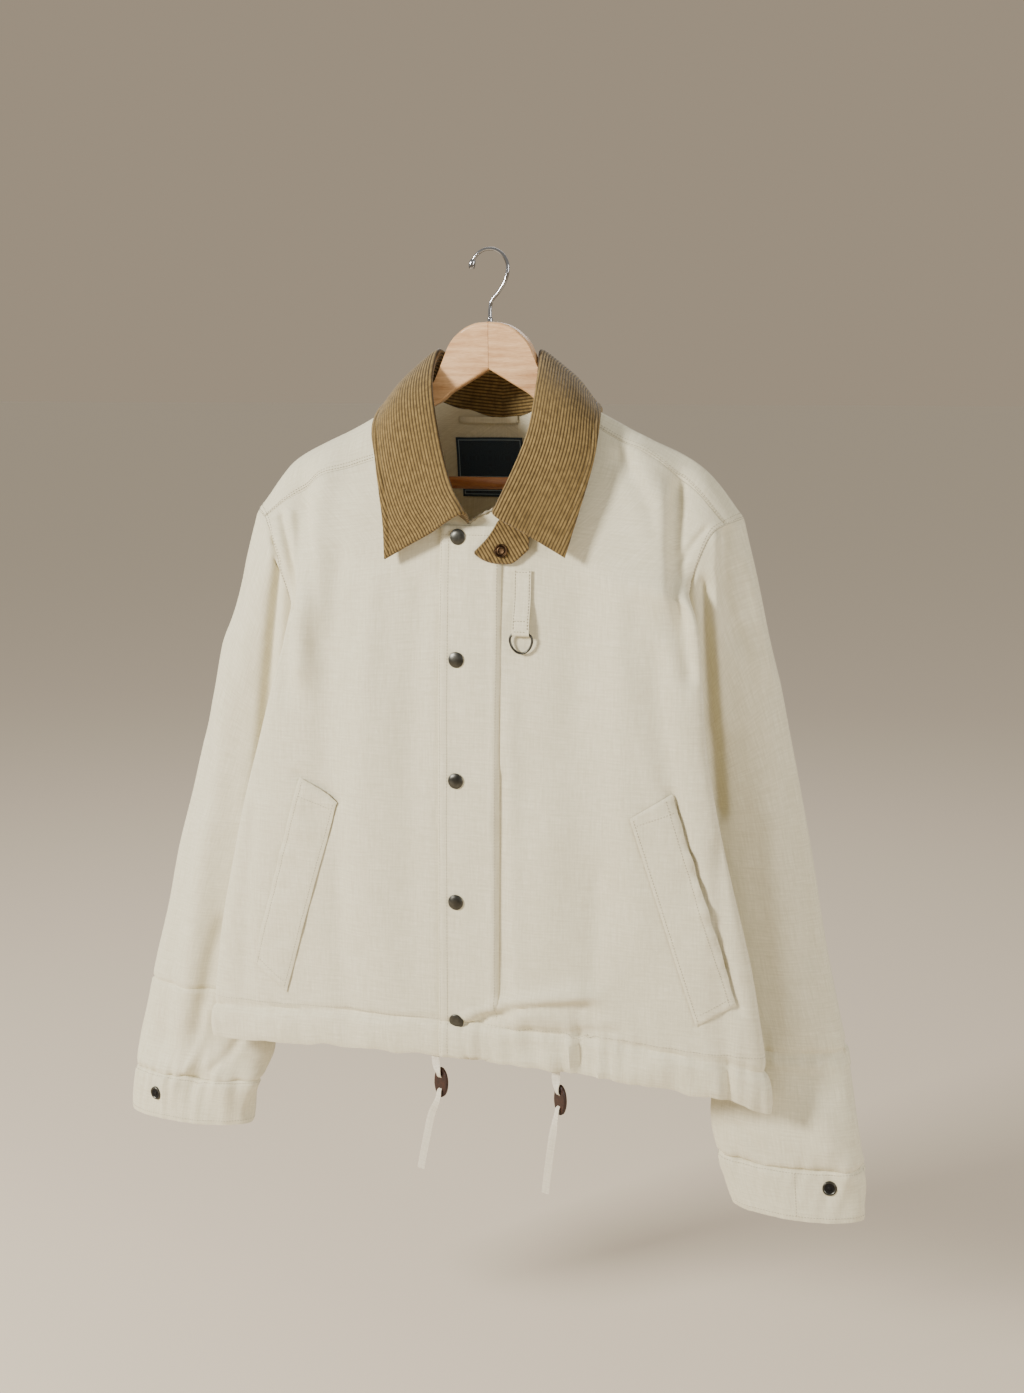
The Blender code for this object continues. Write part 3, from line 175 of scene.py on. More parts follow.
BACK_CREASES = (
    (-0.195, -0.285, -0.150, -0.430, 0.010, 0.008, 0.014, -0.0026),
    (0.195, -0.285, 0.150, -0.430, -0.010, 0.008, 0.014, -0.0026),
    (-0.060, -0.260, -0.050, -0.600, 0.006, 0.014, 0.020, 0.0022),
    (0.070, -0.240, 0.060, -0.560, -0.006, 0.014, 0.020, 0.0022),
    (-0.330, -0.600, -0.362, -0.850, 0.004, 0.010, 0.014, -0.0020),
    (0.296, -0.560, 0.335, -0.850, 0.004, 0.010, 0.014, -0.0020),
)


def eased(t, width, start, end, leaves, arrives):
    """Smooth step from start to end; leaves and arrives are the slopes there."""
    return ((2 * t ** 3 - 3 * t ** 2 + 1) * start + (t ** 3 - 2 * t ** 2 + t) * width * leaves
            + (-2 * t ** 3 + 3 * t ** 2) * end + (t ** 3 - t ** 2) * width * arrives)


def through(keys, values, at):
    """Smooth curve through values at rising keys; values may hold several columns."""
    keys = np.asarray(keys, float)
    values = np.asarray(values, float)
    steps = np.diff(keys)
    slopes = np.diff(values, axis=0) / steps.reshape((-1,) + (1,) * (values.ndim - 1))
    tangents = np.concatenate([slopes[:1], slopes[-1:].repeat(len(keys) - 1, axis=0)])
    for i in range(1, len(keys) - 1):
        tangents[i] = (steps[i] * slopes[i - 1] + steps[i - 1] * slopes[i]) / (steps[i - 1] + steps[i])
    at = np.clip(np.atleast_1d(np.asarray(at, float)), keys[0], keys[-1])
    cell = np.clip(np.searchsorted(keys, at, side="right") - 1, 0, len(keys) - 2)
    shape = (-1,) + (1,) * (values.ndim - 1)
    width = steps[cell].reshape(shape)
    t = ((at - keys[cell]) / steps[cell]).reshape(shape)
    return eased(t, width, values[cell], values[cell + 1], tangents[cell], tangents[cell + 1])


def lengths_along(points):
    """Distance from the first point to each point, along the points."""
    steps = np.linalg.norm(np.diff(points, axis=0), axis=-1)
    return np.concatenate([np.zeros((1,) + steps.shape[1:]), np.cumsum(steps, axis=0)])


def curves_at(points, index):
    """Point of each column's smooth curve at its own fractional index; points are rows x columns x 3."""
    count = len(points)
    columns = np.arange(points.shape[1])
    steps = np.diff(lengths_along(points), axis=0)[..., None]
    slopes = np.diff(points, axis=0) / steps
    tangents = np.concatenate([slopes[:1], slopes[-1:].repeat(count - 1, axis=0)])
    tangents[1:-1] = (steps[1:] * slopes[:-1] + steps[:-1] * slopes[1:]) / (steps[1:] + steps[:-1])
    cell = np.clip(np.floor(index).astype(int), 0, count - 2)
    here, ahead = (cell, columns), (cell + 1, columns)
    t = (index - cell)[:, None]
    return eased(t, steps[here], points[here], points[ahead], tangents[here], tangents[ahead])


BODY = np.array(BODY_ROWS).reshape(len(BODY_ROWS), 4, 3)
LEVEL_KEYS = lengths_along(BODY[:, 1])


def body_points(levels, across, side):
    """Points of the body, one for each pair of a level and a place across."""
    levels = np.asarray(levels, float)
    controls = through(LEVEL_KEYS, BODY, np.interp(levels, np.arange(len(BODY)), LEVEL_KEYS)).copy()
    sway, sway_z, reach = FOLD_SWAY
    near = np.exp(-((controls[:, 2, 2] - sway_z) / reach) ** 2) * (levels < RIDGE)
    controls[:, 2, 0] += side * sway * near
    controls[:, 0, 0] = np.maximum(controls[:, 0, 0], 0.0)
    controls[:, :, 0] *= side
    return curves_at(controls.transpose(1, 0, 2), np.asarray(across, float))


def spread(start, end, size):
    """Even stops from start to end; size is their length in metres."""
    cells = max(1, int(round(size / GRID)))
    return list(np.linspace(start, end, cells + 1))


def folds_at(points, rows):
    """Height of a table of folds at points seen from the front or the back."""
    total = np.zeros(len(points))
    for x0, z0, x1, z1, bend, width0, width1, height in rows:
        length = math.hypot(x1 - x0, z1 - z0)
        run_x, run_z = (x1 - x0) / length, (z1 - z0) / length
        away_x, away_z = points[:, 0] - x0, points[:, 2] - z0
        along = away_x * run_x + away_z * run_z
        t = np.clip(along / length, 0, 1)
        beside = away_x * run_z - away_z * run_x - bend * 4 * t * (1 - t)
        past = np.maximum(0, np.maximum(-along, along - length))
        width = width0 + (width1 - width0) * t
        total += height * np.exp(-(beside / width) ** 2 - (past / (1.6 * width)) ** 2)
    return total


def normals_of(points, faces):
    """Unit normal of each point, from the quads around it."""
    quads = points[faces]
    turn = np.cross(quads[:, 2] - quads[:, 0], quads[:, 3] - quads[:, 1])
    normals = np.zeros_like(points)
    for corner in range(4):
        np.add.at(normals, faces[:, corner], turn)
    sizes = np.linalg.norm(normals, axis=1)
    return normals / np.where(sizes > 0, sizes, 1)[:, None]


def quads_of(index):
    """Quads between the neighbours of a grid of point numbers."""
    corners = (index[:-1, :-1], index[:-1, 1:], index[1:, 1:], index[1:, :-1])
    return np.stack(corners, axis=-1).reshape(-1, 4)


class Sheet:
    """All cloth of the jacket's body as one sheet whose quads know their piece."""

    def __init__(self):
        self.keys = {}
        self.points = []
        self.cloth = []
        self.faces = {}
        self.armholes = []

    def grid(self, points, cloth, keys):
        """Adds a grid's points; those with a key are shared with other grids."""
        rows, columns = points.shape[:2]
        index = np.empty((rows, columns), int)
        for r in range(rows):
            for c in range(columns):
                key = keys.get((r, c))
                if key is None or key not in self.keys:
                    index[r, c] = len(self.points)
                    self.points.append(points[r, c])
                    self.cloth.append(cloth[r, c])
                    if key is not None:
                        self.keys[key] = index[r, c]
                else:
                    index[r, c] = self.keys[key]
        return index

    def quads(self, index, piece, turned):
        """Adds the quads of a grid of indices to a piece."""
        quads = quads_of(index)
        self.faces.setdefault(piece, []).append(quads[:, ::-1] if turned else quads)


SHEET = Sheet()
ACROSS = np.array(spread(0, 1, 0.110) + spread(1, 2, 0.130)[1:] + spread(2, 3, 0.075)[1:])
SPANS = ((FRONT_HEM, FRONT_ARMPIT, 0.290), (FRONT_ARMPIT, None, 0.290), (None, RIDGE, 0.040),
         (RIDGE, BACK_NECK, 0.075), (BACK_NECK, BACK_ARMPIT, 0.300), (BACK_ARMPIT, BACK_HEM, 0.305))
for side, front, sleeve, cuff in ((-1, "front_right", "sleeve_right", "cuff_right"),
                                  (1, "front_left", "sleeve_left", "cuff_left")):
    seam = np.interp(ACROSS, (0, 3), SHOULDER_SEAM[side])
    rows, marks = [], [0]
    for start, end, size in SPANS:
        stops = np.array(spread(0, 1, size))[1 if rows else 0:]
        low = seam if start is None else start
        high = seam if end is None else end
        rows += [low + (high - low) * t + 0 * seam for t in stops]
        marks.append(len(rows) - 1)
    levels = np.array(rows)
    across = np.broadcast_to(ACROSS, levels.shape)
    points = body_points(levels.ravel(), across.ravel(), side).reshape(levels.shape + (3,))
    over = np.cumsum(np.linalg.norm(np.diff(points, axis=1, prepend=points[:, :1]), axis=2), axis=1)
    up = np.interp(levels, np.arange(len(BODY)), LEVEL_KEYS)
    cloth = np.stack([side * over, up], axis=2)
    last, armpit, blade = len(rows) - 1, marks[1], marks[5]
    keys = {(r, 0): ("middle", r) for r in range(marks[4], last + 1)}
    for r in list(range(armpit + 1)) + list(range(blade, last + 1)):
        keys[(r, len(ACROSS) - 1)] = ("side", side, round(min(r, (last - r) * armpit / (last - blade)), 3))
    index = SHEET.grid(points, cloth, keys)
    SHEET.quads(index[:marks[2] + 1], front, side < 0)
    SHEET.quads(index[marks[2]:], "back", side < 0)

    loop = list(index[armpit:blade, -1])
    SHEET.armholes.append(loop)
    ring = np.array([SHEET.points[i] for i in loop])
    run = lengths_along(np.vstack([ring, ring[:1]]))
    top = marks[3] - armpit
    angles = np.interp(run[:-1], (0, run[top], run[-1]), (0, math.pi, 2 * math.pi))
    rings = [ring]
    for z, centre_x, centre_y, half_width, half_depth in SLEEVE_ROWS[side]:
        rings.append(np.stack([centre_x - side * half_width * np.cos(angles),
                               centre_y - half_depth * np.sin(angles),
                               np.full(len(angles), z)], axis=1))
    rings = np.array(rings)
    sizes = np.linalg.norm(np.diff(rings.mean(axis=1), axis=0), axis=1)
    stops = [0]
    for i, size in enumerate(sizes):
        stops += spread(i, i + 1, max(size, 0.008))[1:]
    tube = np.array([curves_at(rings, np.full(len(angles), stop)) for stop in stops])
    down = lengths_along(tube).mean(axis=1)
    upper_arm = tube[len(tube) // 3]
    around = np.cumsum(np.linalg.norm(np.diff(upper_arm, axis=0, prepend=upper_arm[:1]), axis=1))
    cloth = np.stack(np.broadcast_arrays(around, down[:, None]), axis=2)
    for i, vertex in enumerate(loop):
        SHEET.keys[("arm", side, i)] = vertex
    index = SHEET.grid(tube, cloth, {(0, i): ("arm", side, i) for i in range(len(loop))})
    index = np.column_stack([index, index[:, :1]])
    cuff_row = stops.index(len(rings) - 2)
    SHEET.quads(index[:cuff_row + 1], sleeve, side > 0)
    SHEET.quads(index[cuff_row:], cuff, side > 0)

POINTS = np.array(SHEET.points)
CLOTH_UV = np.array(SHEET.cloth)
FACES = {name: np.vstack(quads) for name, quads in SHEET.faces.items()}
BODY_FACES = np.vstack([FACES[name] for name in ("front_right", "front_left", "back")])
ARM_FACES = np.vstack([FACES[name] for name in ("sleeve_right", "cuff_right", "sleeve_left", "cuff_left")])
ALL_FACES = np.vstack([BODY_FACES, ARM_FACES])
IN_BODY = np.zeros(len(POINTS), bool)
IN_BODY[BODY_FACES.ravel()] = True


def sheet_normals(points):
    """Unit normals that halve the angle between the body and the sleeve at an armhole."""
    both = normals_of(points, BODY_FACES) + normals_of(points, ARM_FACES)
    sizes = np.linalg.norm(both, axis=1)
    return both / np.maximum(sizes, 0.2)[:, None]


def moved(points, front_rows, back_rows, where=None):
    """Points moved along their normals by the folds in front and behind."""
    normals = sheet_normals(points)
    front = folds_at(points, front_rows) * np.clip(-1.4 * normals[:, 1], 0, 1)
    back = folds_at(points, back_rows) * np.clip(1.4 * normals[:, 1], 0, 1)
    lift = (front + back) * (1 if where is None else where)
    return points + normals * lift[:, None]


POINTS = moved(POINTS, FRONT_FOLDS, BACK_FOLDS)
POINTS = moved(POINTS, BODY_CREASES, BACK_CREASES[:4], IN_BODY)
POINTS = moved(POINTS, SLEEVE_CREASES, BACK_CREASES[4:], ~IN_BODY)


def uneven(points, wave, seed):
    """A smooth irregular value from -1 to 1 over space; wave is its usual length in metres."""
    total = np.zeros(len(points))
    random = np.random.default_rng(seed)
    for _ in range(7):
        way = random.normal(size=3)
        way *= 2 * math.pi / (wave * np.linalg.norm(way) * random.uniform(0.7, 1.6))
        total += np.sin(points @ way + random.uniform(0, 2 * math.pi))
    return total / 7 * 1.6


# gathers: along the hem, more to the wearer's left, and on the cuffs' seams
HEM_DEPTH, HEM_PUFF, HEM_GATHER, HEM_DENT = 0.0380, 0.0022, 0.0036, 0.0028
HEM_SCALLOP, CORNER_DROP = 0.0020, 0.0095
CUFF_GATHER, CUFF_DENT = 0.0056, 0.0026
CUFF_SEAM_Z = {-1: -0.874, 1: -0.889}
# where each cuff's gathers start, and over what width they grow
CUFF_GATHERS = {-1: (-0.392, 0.030), 1: (0.340, 0.030)}


def gathered(points):
    """Puffed hem channel, hem gathers and the cuffs' gathers."""
    normals = sheet_normals(points)
    x, z = points[:, 0], points[:, 2]
    hem_z = np.interp(np.abs(x), (0, 0.15, 0.30), (-0.7900, -0.7965, -0.8120))
    hem_z = np.where(points[:, 1] > 0, -0.806, hem_z)
    up = z - hem_z
    channel = np.clip(up / HEM_DEPTH, 0, 1)
    puff = HEM_PUFF * np.sin(math.pi * channel) ** 0.7 * (up < HEM_DEPTH)
    left = np.clip((x + 0.06) / 0.12, 0.25, 1.0)
    strong = 0.35 + 0.65 * np.abs(uneven(points * (1, 0.3, 0.10), 0.060, 6))
    fade = np.exp(-np.maximum(0, up - 0.034) / 0.018)
    wave = strong * 1.6 * uneven(points * (1, 0.3, 0.30), 0.015, 5) * fade
    dent = -HEM_DENT * np.exp(-((up - HEM_DEPTH) / 0.0032) ** 2)
    lift = (puff + HEM_GATHER * left * wave + dent) * (up < 0.12)
    for side, seam_z in CUFF_SEAM_Z.items():
        near = (np.sign(x) == side) & ~IN_BODY & (z < seam_z + 0.10)
        away = z - seam_z
        start, reach = CUFF_GATHERS[side]
        grown = 0.45 + 0.55 * np.clip((x - start) / reach, 0, 1)
        over = np.where(away > 0, 0.016, 0.040)
        ripple = uneven(points * (1, 1, 0.22), 0.013, 9) * np.exp(-np.abs(away) / over)
        sewn = CUFF_DENT * np.exp(-(away / 0.003) ** 2)
        lift = np.where(near, CUFF_GATHER * grown * ripple - sewn, lift * ~near)
    drop = np.zeros_like(points)
    scallop = HEM_SCALLOP * uneven(points * (1, 1, 0), 0.026, 3)
    drop[:, 2] = scallop * np.exp(-np.maximum(0, up) / 0.020) * IN_BODY
    corner = np.clip((x - 0.245) / 0.045, 0, 1) ** 1.5 * (points[:, 1] < 0.01)
    drop[:, 2] -= CORNER_DROP * corner * np.exp(-np.maximum(0, up) / 0.060) * IN_BODY
    return points + normals * lift[:, None] + drop


POINTS = gathered(POINTS)
POINTS = POINTS + sheet_normals(POINTS) * (0.0007 * uneven(POINTS, 0.070, 1))[:, None]
NORMALS = sheet_normals(POINTS)
SURFACE = BVHTree.FromPolygons([tuple(p) for p in POINTS], [tuple(int(i) for i in f) for f in ALL_FACES])


def linear(code):
    """sRGB hex code to linear colour."""
    parts = [int(code[i:i + 2], 16) / 255 for i in (1, 3, 5)]
    return tuple(c / 12.92 if c <= 0.04045 else ((c + 0.055) / 1.055) ** 2.4 for c in parts)


def node(tree, kind, links=None, values=None, stops=(), **settings):
    """Adds a node with its settings, values and colour stops and the sockets that feed it."""
    made = tree.nodes.new(kind)
    for name, value in settings.items():
        setattr(made, name, value)
    for number, (position, colour) in enumerate(stops):
        made.color_ramp.elements[number].position = position
        made.color_ramp.elements[number].color = (*colour, 1)
    for socket, value in (values or {}).items():
        made.inputs[socket].default_value = value
    for socket, source in (links or {}).items():
        tree.links.new(source, made.inputs[socket])
    return made


def material(name, roughness, metallic=0.0, **sockets):
    """A Principled material; sockets are more of its constant values."""
    made = bpy.data.materials.new(name)
    made.use_nodes = True
    shader = made.node_tree.nodes["Principled BSDF"]
    shader.inputs["Roughness"].default_value = roughness
    shader.inputs["Metallic"].default_value = metallic
    for socket, value in sockets.items():
        shader.inputs[socket.replace("_", " ")].default_value = value
    return made, made.node_tree, shader


def cotton(name, dark, light, thread=0.0006):
    """Slubby plain weave with spots about 3 mm apart and soft creases about 40 mm apart.

    The slubs in warp and weft are drawn at twice the thread's spacing, so that they show.
    """
    made, tree, shader = material(name, 0.88, Sheen_Weight=0.12, Sheen_Roughness=0.6, Specular_IOR_Level=0.25)
    uv = node(tree, "ShaderNodeUVMap")
    heights = []
    for scale in ((1 / thread, 0.06 / thread, 1), (0.06 / thread, 1 / thread, 1)):
        place = node(tree, "ShaderNodeMapping", {"Vector": uv.outputs[0]}, {"Scale": scale})
        slub = node(tree, "ShaderNodeTexNoise", {"Vector": place.outputs[0]}, {"Scale": 0.5, "Detail": 3.0})
        heights.append(slub.outputs[0])
    weave = node(tree, "ShaderNodeMath", {0: heights[0], 1: heights[1]}, operation="MULTIPLY")
    spot = node(tree, "ShaderNodeTexNoise", {"Vector": uv.outputs[0]}, {"Scale": 300.0, "Detail": 4.0})
    mixed = node(tree, "ShaderNodeMix", {2: weave.outputs[0], 3: spot.outputs[0]}, {0: 0.22})
    tone = node(tree, "ShaderNodeValToRGB", {0: mixed.outputs[0]}, stops=((0.20, dark), (0.46, light)))
    tree.links.new(tone.outputs[0], shader.inputs["Base Color"])
    crease = node(tree, "ShaderNodeTexNoise", {"Vector": uv.outputs[0]},
                  {"Scale": 26.0, "Detail": 3.0, "Distortion": 0.6})
    soft = node(tree, "ShaderNodeBump", {"Height": crease.outputs[0]}, {"Strength": 0.22, "Distance": 0.0030})
    fine = node(tree, "ShaderNodeBump", {"Height": weave.outputs[0], "Normal": soft.outputs[0]},
                {"Strength": 0.35, "Distance": 0.0004})
    tree.links.new(fine.outputs[0], shader.inputs["Normal"])
    return made


COTTON = cotton("slubby off-white cotton", linear("#D2CAAC"), linear("#E5DEC2"), 0.0008)


def add_piece(name, points, faces, skin, replaces=(), cloth_uv=None, body="jacket", sharp=55):
    """A mesh piece that rides on a body and stands for its CAD nodes."""
    mesh = bpy.data.meshes.new(name)
    mesh.from_pydata([tuple(p) for p in points], [], [tuple(int(i) for i in f) for f in faces])
    if cloth_uv is not None:
        layer = mesh.uv_layers.new(name="UVMap")
        corners = np.empty(len(mesh.loops), dtype=np.int32)
        mesh.loops.foreach_get("vertex_index", corners)
        layer.data.foreach_set("uv", np.asarray(cloth_uv)[corners].ravel())
    shell = bmesh.new()
    shell.from_mesh(mesh)
    bmesh.ops.recalc_face_normals(shell, faces=shell.faces)
    if shell.calc_volume(signed=True) < 0:
        bmesh.ops.reverse_faces(shell, faces=shell.faces)
    shell.to_mesh(mesh)
    shell.free()
    mesh.materials.append(skin)
    mesh.shade_smooth()
    mesh.set_sharp_from_angle(angle=math.radians(sharp))
    made = bpy.data.objects.new(name, mesh)
    bpy.context.scene.collection.objects.link(made)
    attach(made, body)
    if replaces:
        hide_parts(*replaces)
    return made


def wall(points, normals, faces, low, high, soft=0.0, inset=0.0):
    """Closed wall over a sheet of quads; soft rounds its edges, inset draws them in."""
    faces = np.asarray(faces)
    edges = {}
    for number, face in enumerate(faces.tolist()):
        for a, b in zip(face, face[1:] + face[:1]):
            edges[(a, b)] = number
    rim = [(a, b, number) for (a, b), number in edges.items() if (b, a) not in edges]
    points = points.copy()
    lowered = np.zeros(len(points))
    inward = {}
    for a, b, number in rim:
        along = points[b] - points[a]
        along /= np.linalg.norm(along) + 1e-12
        way = points[faces[number]].mean(axis=0) - (points[a] + points[b]) / 2
        way -= along * (way @ along)
        way /= np.linalg.norm(way) + 1e-12
        for index in (a, b):
            inward.setdefault(index, []).append(way)
            lowered[index] = soft
    for index, ways in inward.items():
        points[index] += inset * np.mean(ways, axis=0)
    used = np.unique(faces)
    place = np.full(len(points), -1)
    place[used] = np.arange(len(used))
    top = points[used] + normals[used] * (high - lowered[used])[:, None]
    bottom = points[used] + normals[used] * (low + lowered[used] * 0.4)[:, None]
    solid = [tuple(f) for f in place[faces].tolist()]
    solid += [tuple(i + len(used) for i in reversed(f)) for f in place[faces].tolist()]
    solid += [(place[b], place[a], place[a] + len(used), place[b] + len(used)) for a, b, _ in rim]
    return np.vstack([top, bottom]), solid, used


def sewn(name, points, normals, faces, low, high, cloth_uv, skin=COTTON, slot="cotton", soft=0.0, inset=0.0):
    """A piece of cloth that stands for the CAD node of its name, with the cloth's own coordinates."""
    solid_points, solid, used = wall(points, normals, faces, low, high, soft, inset)
    word, sharp = ("corduroy", 80) if slot == "corduroy" else ("cloth", 55)
    return add_piece(f"{name}_{word}", solid_points, solid, skin, (name,),
                     np.tile(cloth_uv[used], (2, 1)), sharp=sharp)


FLAT_SIZES = {
    # width, length, area
    "front_right": (0.360, 0.640, 0.195), "front_left": (0.360, 0.660, 0.200),
    "back": (0.520, 0.760, 0.330),
    "sleeve_right": (0.420, 0.680, 0.240), "sleeve_left": (0.400, 0.690, 0.235),
    "cuff_right": (0.330, 0.060, None), "cuff_left": (0.330, 0.065, None),
}
for name, (width, length, area) in FLAT_SIZES.items():
    piece = sewn(name, POINTS, NORMALS, FACES[name], -CLOTH, 0.0, CLOTH_UV, soft=0.0005, inset=SEAM_GAP / 2)


# ---- Topstitching --------------------------------------------------------------------------
# Off-white thread in rows beside the seams, one small stitch after another, each pulled a
# little into the cloth.
STITCH = 0.0030
THREAD = 0.00060
SEWN_LENGTH = 0.36        # half of the share of a stitch's pitch that shows
LOWEST_FRONT, LOWEST_BACK = 0.090, 0.106
STITCHES = {"points": [], "faces": []}


def stitch_row(places, normals, store=STITCHES):
    """Adds stitches along a line of points that lie on the cloth."""
    places = np.asarray(places, float)
    run = lengths_along(places)
    stops = np.arange(STITCH * 0.5, run[-1], STITCH)
    for stop in stops:
        middle = np.array([np.interp(stop, run, places[:, k]) for k in range(3)])
        ahead = np.array([np.interp(stop + STITCH * SEWN_LENGTH, run, places[:, k]) for k in range(3)])
        up = np.array([np.interp(stop, run, np.asarray(normals)[:, k]) for k in range(3)])
        up /= np.linalg.norm(up) + 1e-12
        half = ahead - middle
        size = np.linalg.norm(half)
        if size < STITCH * 0.2:
            continue
        along = half / size
        beside = np.cross(along, up)
        centre = middle + up * THREAD * 0.25
        first = len(store["points"])
        for share, thick in ((-1.0, 0.25), (-0.55, 1.0), (0.55, 1.0), (1.0, 0.25)):
            sunk = THREAD * 0.7 * (abs(share) > 0.9)
            for a, b in ((1, 0), (0, 1), (-1, 0), (0, -1)):
                store["points"].append(centre + along * size * share - up * sunk
                                       + thick * THREAD * 0.5 * (beside * a + up * b))
        for r in range(3):
            for k in range(4):
                a, b = first + r * 4 + k, first + r * 4 + (k + 1) % 4
                store["faces"].append((a, b, b + 4, a + 4))
        store["faces"] += [tuple(range(first, first + 4)), tuple(range(first + 12, first + 16))]


def front_at(x, z, surface=None):
    """Point and outward normal of the jacket's front at x and z."""
    place, normal, _, _ = (surface or SURFACE).ray_cast(Vector((x, -1.0, z)), Vector((0.0, 1.0, 0.0)))
    return np.array(place), np.array(normal if normal.y < 0 else -normal)


def front_row(ends, surface=None):
    """Stitches on the front along straight lines through points given by x and z."""
    ends = np.array(ends, float)
    run = lengths_along(ends)
    stops = np.linspace(0, run[-1], max(3, int(run[-1] / 0.004)))
    hits = [front_at(np.interp(s, run, ends[:, 0]), np.interp(s, run, ends[:, 1]), surface) for s in stops]
    stitch_row([h[0] for h in hits], [h[1] for h in hits])


def nearest_row(places):
    """Stitches on the cloth, nearest to a line of points."""
    hits = [SURFACE.find_nearest(Vector(p)) for p in places]
    stitch_row(*(np.array([tuple(h[part]) for h in hits]) for part in (0, 1)))


for side in (-1, 1):
    neck, arm = SHOULDER_SEAM[side]
    for beside in (0.05, 0.13):
        across = np.linspace(0.0, 2.98, 80)
        levels = neck + (arm - neck) * across / 3 + beside
        nearest_row(body_points(levels, across, side))
    for within in (0.030, 0.100):
        levels = np.linspace(FRONT_ARMPIT + 1.9, BACK_ARMPIT - 1.9, 130)
        nearest_row(body_points(levels, np.full(130, 3 - within), side))

for side in (-1, 1):
    across = np.linspace(0.0, 2.99, 110)
    for level in (HEM_DEPTH / LOWEST_FRONT, BACK_HEM - HEM_DEPTH / LOWEST_BACK):
        nearest_row(body_points(np.full(110, level), across, side))
    table = np.array(SLEEVE_ROWS[side])
    angles = np.linspace(0, 2 * math.pi, 120)
    for height in (CUFF_SEAM_Z[side] - 0.0032, table[-1, 0] + 0.0050):
        centre_x, centre_y, half_width, half_depth = through(-table[:, 0], table[:, 1:], -height)[0]
        nearest_row(np.stack([centre_x + half_width * np.cos(angles), centre_y + half_depth * np.sin(angles),
                              np.full(120, height)], axis=1))
front_row(((0.3215, -0.892), (0.3255, -0.937)))


# ---- Storm flap ----------------------------------------------------------------------------
# A folded band of the jacket's cloth over the front closing. Its right edge is sewn down, its
# left edge is free and stitched twice.
FLAP_LEFT, FLAP_RIGHT = -0.0290, 0.0325
FLAP_TOP, FLAP_BOTTOM = -0.2590, -0.7900
FLAP_THICKNESS = 0.0024
SOFT_EDGE = 0.0008


def front_grid(places):
    """Front points under a grid of places in x and z."""
    return np.array([[front_at(x, z)[0] for x, z in row] for row in places])


def patch(corners, rows, columns):
    """Front points between corners in x and z: top left, top right, bottom right, bottom left."""
    a, b, c, d = np.array(corners, float)
    down = (np.arange(rows) / (rows - 1))[:, None, None]
    start, end = a + (d - a) * down, b + (c - b) * down
    cloth = start + (end - start) * np.arange(columns)[:, None] / (columns - 1)
    return front_grid(cloth), cloth


def grid_quads(rows, columns, closed=False):
    """Quads of a grid whose points run row by row."""
    index = np.arange(rows * columns).reshape(rows, columns)
    if closed:
        index = np.column_stack([index, index[:, :1]])
    return quads_of(index)


def capped(rows, sides):
    """Faces of a tube whose rings run point by point, with a face over each end."""
    faces = [tuple(f) for f in grid_quads(rows, sides, closed=True)]
    return faces + [tuple(range(sides)), tuple(range((rows - 1) * sides, rows * sides))]


def front_normals(points, faces):
    """Normals of a piece that lies on the front, facing outward."""
    normals = normals_of(points, faces)
    return normals * -np.sign(normals[:, 1].mean())


def laid(name, points, cloth, thickness, height):
    """A piece of the jacket's cloth that lies on the front, from a grid of the front's points."""
    flat = points.reshape(-1, 3)
    faces = grid_quads(*points.shape[:2])
    normals = front_normals(flat, faces)
    raised = flat + normals * LAID_GAP + normals * height.reshape(-1, 1)
    return sewn(name, raised, front_normals(raised, faces), faces, 0.0, thickness, cloth.reshape(-1, 2),
                soft=SOFT_EDGE)


def surface_of(piece):
    """A finished piece as a surface that can be searched."""
    points = [tuple(v.co) for v in piece.data.vertices]
    return BVHTree.FromPolygons(points, [tuple(p.vertices) for p in piece.data.polygons])


rows, columns = 240, 30
points, cloth = patch(((FLAP_LEFT, FLAP_TOP), (FLAP_RIGHT, FLAP_TOP),
                       (FLAP_RIGHT, FLAP_BOTTOM), (FLAP_LEFT, FLAP_BOTTOM)), rows, columns)
x, z = cloth[..., 0], cloth[..., 1]
slack = uneven(cloth[..., [0, 1, 1]].reshape(-1, 3) * (1.6, 0.5, 0), 0.050, 21).reshape(x.shape)
flap_height = (0.0006 * np.exp(-((x - FLAP_LEFT - 0.0045) / 0.0030) ** 2)
               - 0.0005 * np.exp(-((x - FLAP_LEFT - 0.0015) / 0.0008) ** 2)
               - 0.0016 * np.exp(-((x - FLAP_RIGHT) / 0.0022) ** 2)
               + 0.0007 * np.exp(-((x - FLAP_RIGHT + 0.0060) / 0.0030) ** 2)
               - 0.0042 * np.clip((-0.728 - z) / 0.012, 0, 1) * np.clip((x - 0.006) / 0.020, 0, 1)
               + 0.0007 * slack)
piece = laid("storm_flap", points, cloth, FLAP_THICKNESS, np.maximum(flap_height, -0.0040))
FLAP_SURFACE = surface_of(piece)
for x in (FLAP_LEFT + 0.0016, FLAP_LEFT + 0.0090):
    front_row(((x, FLAP_TOP - 0.004), (x, FLAP_BOTTOM + 0.002)), FLAP_SURFACE)
front_row(((FLAP_LEFT + 0.002, FLAP_TOP - 0.0080), (FLAP_RIGHT - 0.002, FLAP_TOP - 0.0080)), FLAP_SURFACE)
front_row(((FLAP_RIGHT - 0.0030, FLAP_TOP - 0.020), (FLAP_RIGHT - 0.0030, FLAP_BOTTOM + 0.030)), FLAP_SURFACE)


def circle(sides, start=0.0):
    """Cosine and sine of even angles once round."""
    angles = [2 * math.pi * (k + start) / sides for k in range(sides)]
    return [(math.cos(angle), math.sin(angle)) for angle in angles]


